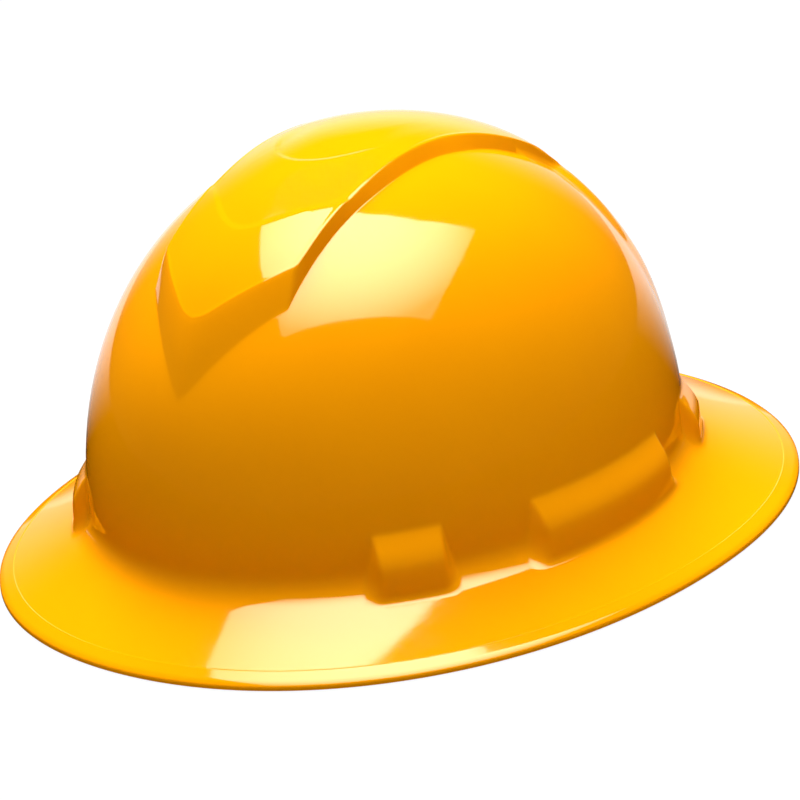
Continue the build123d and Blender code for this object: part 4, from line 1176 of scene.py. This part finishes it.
def emission(nodes, links, strength):
    node = nodes.new("ShaderNodeEmission")
    if isinstance(strength, float):
        node.inputs["Strength"].default_value = strength
    else:
        links.new(strength, node.inputs["Strength"])
    return node.outputs[0]


soft_mesh = staged_face("soft_box", soft_corners, SOFT_LEVEL)
soft_paint, nodes, links, _ = new_material("soft_box_light")
nodes.clear()
soft_reach = nodes.new("ShaderNodeVectorMath")
soft_reach.operation = "DISTANCE"
soft_reach.inputs[1].default_value = SOFT_MIDDLE
links.new(nodes.new("ShaderNodeTexCoord").outputs["Object"], soft_reach.inputs[0])
soft_square = arithmetic(nodes, links, "POWER", soft_reach.outputs["Value"], 2.0)
soft_strength = spread(nodes, links, soft_square, SOFT_BRIGHT, SOFT_DIM, 0.0, SOFT_FALL)
links.new(emission(nodes, links, soft_strength), nodes.new("ShaderNodeOutputMaterial").inputs[0])
soft_mesh.materials.append(soft_paint)
print("soft box of", len(soft_corners), "corners")

# %% [markdown]
# ## Sun lamp
# A broad lamp high behind the hat's right side models the dome from light to dark. It stands for the bounced
# light of the room, so it is wide, and no gloss shows it.

# %% Broad lamp from high up
high_data = bpy.data.lights.new("high_light", "SUN")
high_data.energy = math.pi * 1.4
high_data.angle = math.radians(30)
high_light = bpy.data.objects.new("high_light", high_data)
bpy.context.scene.collection.objects.link(high_light)
light_azimuth, light_elevation = math.radians(229), math.radians(60)
high_way = Vector((math.sin(light_azimuth) * math.cos(light_elevation),
                   -math.cos(light_azimuth) * math.cos(light_elevation), math.sin(light_elevation)))
high_light.rotation_euler = high_way.to_track_quat("Z", "Y").to_euler()
high_light.visible_glossy = False
print("sun lamp", round(high_data.energy, 2), "W/m2")

# %% [markdown]
# ## World
# The camera, and anything clear, sees plain white. In the gloss there is a white wall behind the hat, which
# gives the pale rims at the dome's edges, and the room is dark elsewhere, as it is in the photograph.

# %% White wall and dark room
WALL_SIDES, WALL_RISE = (math.radians(8), math.radians(34)), (0.15, 0.55)
ROOM_LIGHT, ROOM_GLOSS = 0.1, -0.08


def turned_place(nodes, links, place):
    """The place in axes turned to the camera: Y leads away from it."""
    turned = nodes.new("ShaderNodeVectorRotate")
    turned.rotation_type = "Z_AXIS"
    turned.inputs["Angle"].default_value = -view_azimuth
    links.new(place, turned.inputs["Vector"])
    split = nodes.new("ShaderNodeSeparateXYZ")
    links.new(turned.outputs[0], split.inputs[0])
    return split.outputs


def aside_angle(nodes, links, place):
    """Angle to the left or right of the line that leads away from the camera."""
    return arithmetic(nodes, links, "ARCTAN2", arithmetic(nodes, links, "ABSOLUTE", place["X"]), place["Y"])


def mixed(nodes, links, factor, first, second):
    node = nodes.new("ShaderNodeMixShader")
    for socket, value in zip(node.inputs, (factor, first, second)):
        links.new(value, socket)
    return node.outputs[0]


def seen_plainly(nodes, links, path):
    """1 for a ray from the camera, also where it comes through something clear."""
    return arithmetic(nodes, links, "MAXIMUM", path.outputs["Is Camera Ray"], path.outputs["Is Transmission Ray"])


world = bpy.data.worlds.new("studio")
bpy.context.scene.world = world
world.use_nodes = True
nodes, links = world.node_tree.nodes, world.node_tree.links
nodes.clear()
place = turned_place(nodes, links, nodes.new("ShaderNodeTexCoord").outputs["Generated"])
across = spread(nodes, links, aside_angle(nodes, links, place), 1.0, 0.0, *WALL_SIDES, "SMOOTHSTEP")
above = spread(nodes, links, place["Z"], 1.0, 0.0, *WALL_RISE, "SMOOTHSTEP")
path = nodes.new("ShaderNodeLightPath")
room = arithmetic(nodes, links, "MULTIPLY_ADD", path.outputs["Is Glossy Ray"], ROOM_GLOSS, ROOM_LIGHT)
level = arithmetic(nodes, links, "ADD", arithmetic(nodes, links, "MULTIPLY", across, above), room)
fill = nodes.new("ShaderNodeBackground")
links.new(level, fill.inputs["Strength"])
seen = nodes.new("ShaderNodeBackground")
seen.inputs["Color"].default_value = (1, 1, 1, 1)
studio = mixed(nodes, links, seen_plainly(nodes, links, path), fill.outputs[0], seen.outputs[0])
links.new(studio, nodes.new("ShaderNodeOutputWorld").inputs[0])
print("world", world.name, "with", len(nodes), "nodes")

# %% [markdown]
# ## Floor
# The hat stands on a pale floor that runs out of the picture. Seen by the camera it glows nearly white and keeps
# a faint shadow. In the gloss only the part behind the hat glows. For all other light it is a dull grey, and
# from below it is clear, so that the inside can be looked at.

# %% Pale floor
FLOOR_REACH, FLOOR_LEVEL = 1.6, -0.0005
FLOOR_WHITE, FLOOR_SHADE, FLOOR_GREY, FLOOR_LIGHT = 0.93, 0.06, 0.2, 0.22
GLOW_START, GLOW_SIDES, GLOW = (0.01, 0.16), (math.radians(30), math.radians(58)), 0.95

floor_mesh = staged_face("floor", [(-FLOOR_REACH, -FLOOR_REACH), (FLOOR_REACH, -FLOOR_REACH),
                                   (FLOOR_REACH, FLOOR_REACH), (-FLOOR_REACH, FLOOR_REACH)], FLOOR_LEVEL)
pale, nodes, links, shader = new_material("pale_floor")
shader.inputs["Base Color"].default_value = (FLOOR_GREY, FLOOR_GREY, FLOOR_GREY, 1)
shader.inputs["Roughness"].default_value = 0.9
shader.inputs["Emission Color"].default_value = (1, 1, 1, 1)
shader.inputs["Emission Strength"].default_value = FLOOR_LIGHT
faint = nodes.new("ShaderNodeBsdfDiffuse")
faint.inputs["Color"].default_value = (FLOOR_SHADE, FLOOR_SHADE, FLOOR_SHADE, 1)
seen_floor = nodes.new("ShaderNodeAddShader")
links.new(emission(nodes, links, FLOOR_WHITE), seen_floor.inputs[0])
links.new(faint.outputs[0], seen_floor.inputs[1])
place = turned_place(nodes, links, nodes.new("ShaderNodeTexCoord").outputs["Object"])
behind = spread(nodes, links, place["Y"], 0.0, GLOW, *GLOW_START, "SMOOTHSTEP")
wedge = spread(nodes, links, aside_angle(nodes, links, place), 1.0, 0.0, *GLOW_SIDES, "SMOOTHSTEP")
glow = emission(nodes, links, arithmetic(nodes, links, "MULTIPLY", behind, wedge))
path = nodes.new("ShaderNodeLightPath")
lit = mixed(nodes, links, path.outputs["Is Glossy Ray"], shader.outputs[0], glow)
top_side = mixed(nodes, links, seen_plainly(nodes, links, path), lit, seen_floor.outputs[0])
one_sided = mixed(nodes, links, nodes.new("ShaderNodeNewGeometry").outputs["Backfacing"], top_side,
                  nodes.new("ShaderNodeBsdfTransparent").outputs[0])
links.new(one_sided, nodes["Material Output"].inputs["Surface"])
floor_mesh.materials.append(pale)
bpy.context.scene.view_settings.view_transform = "Standard"
print("floor", 2 * FLOOR_REACH, "m square")
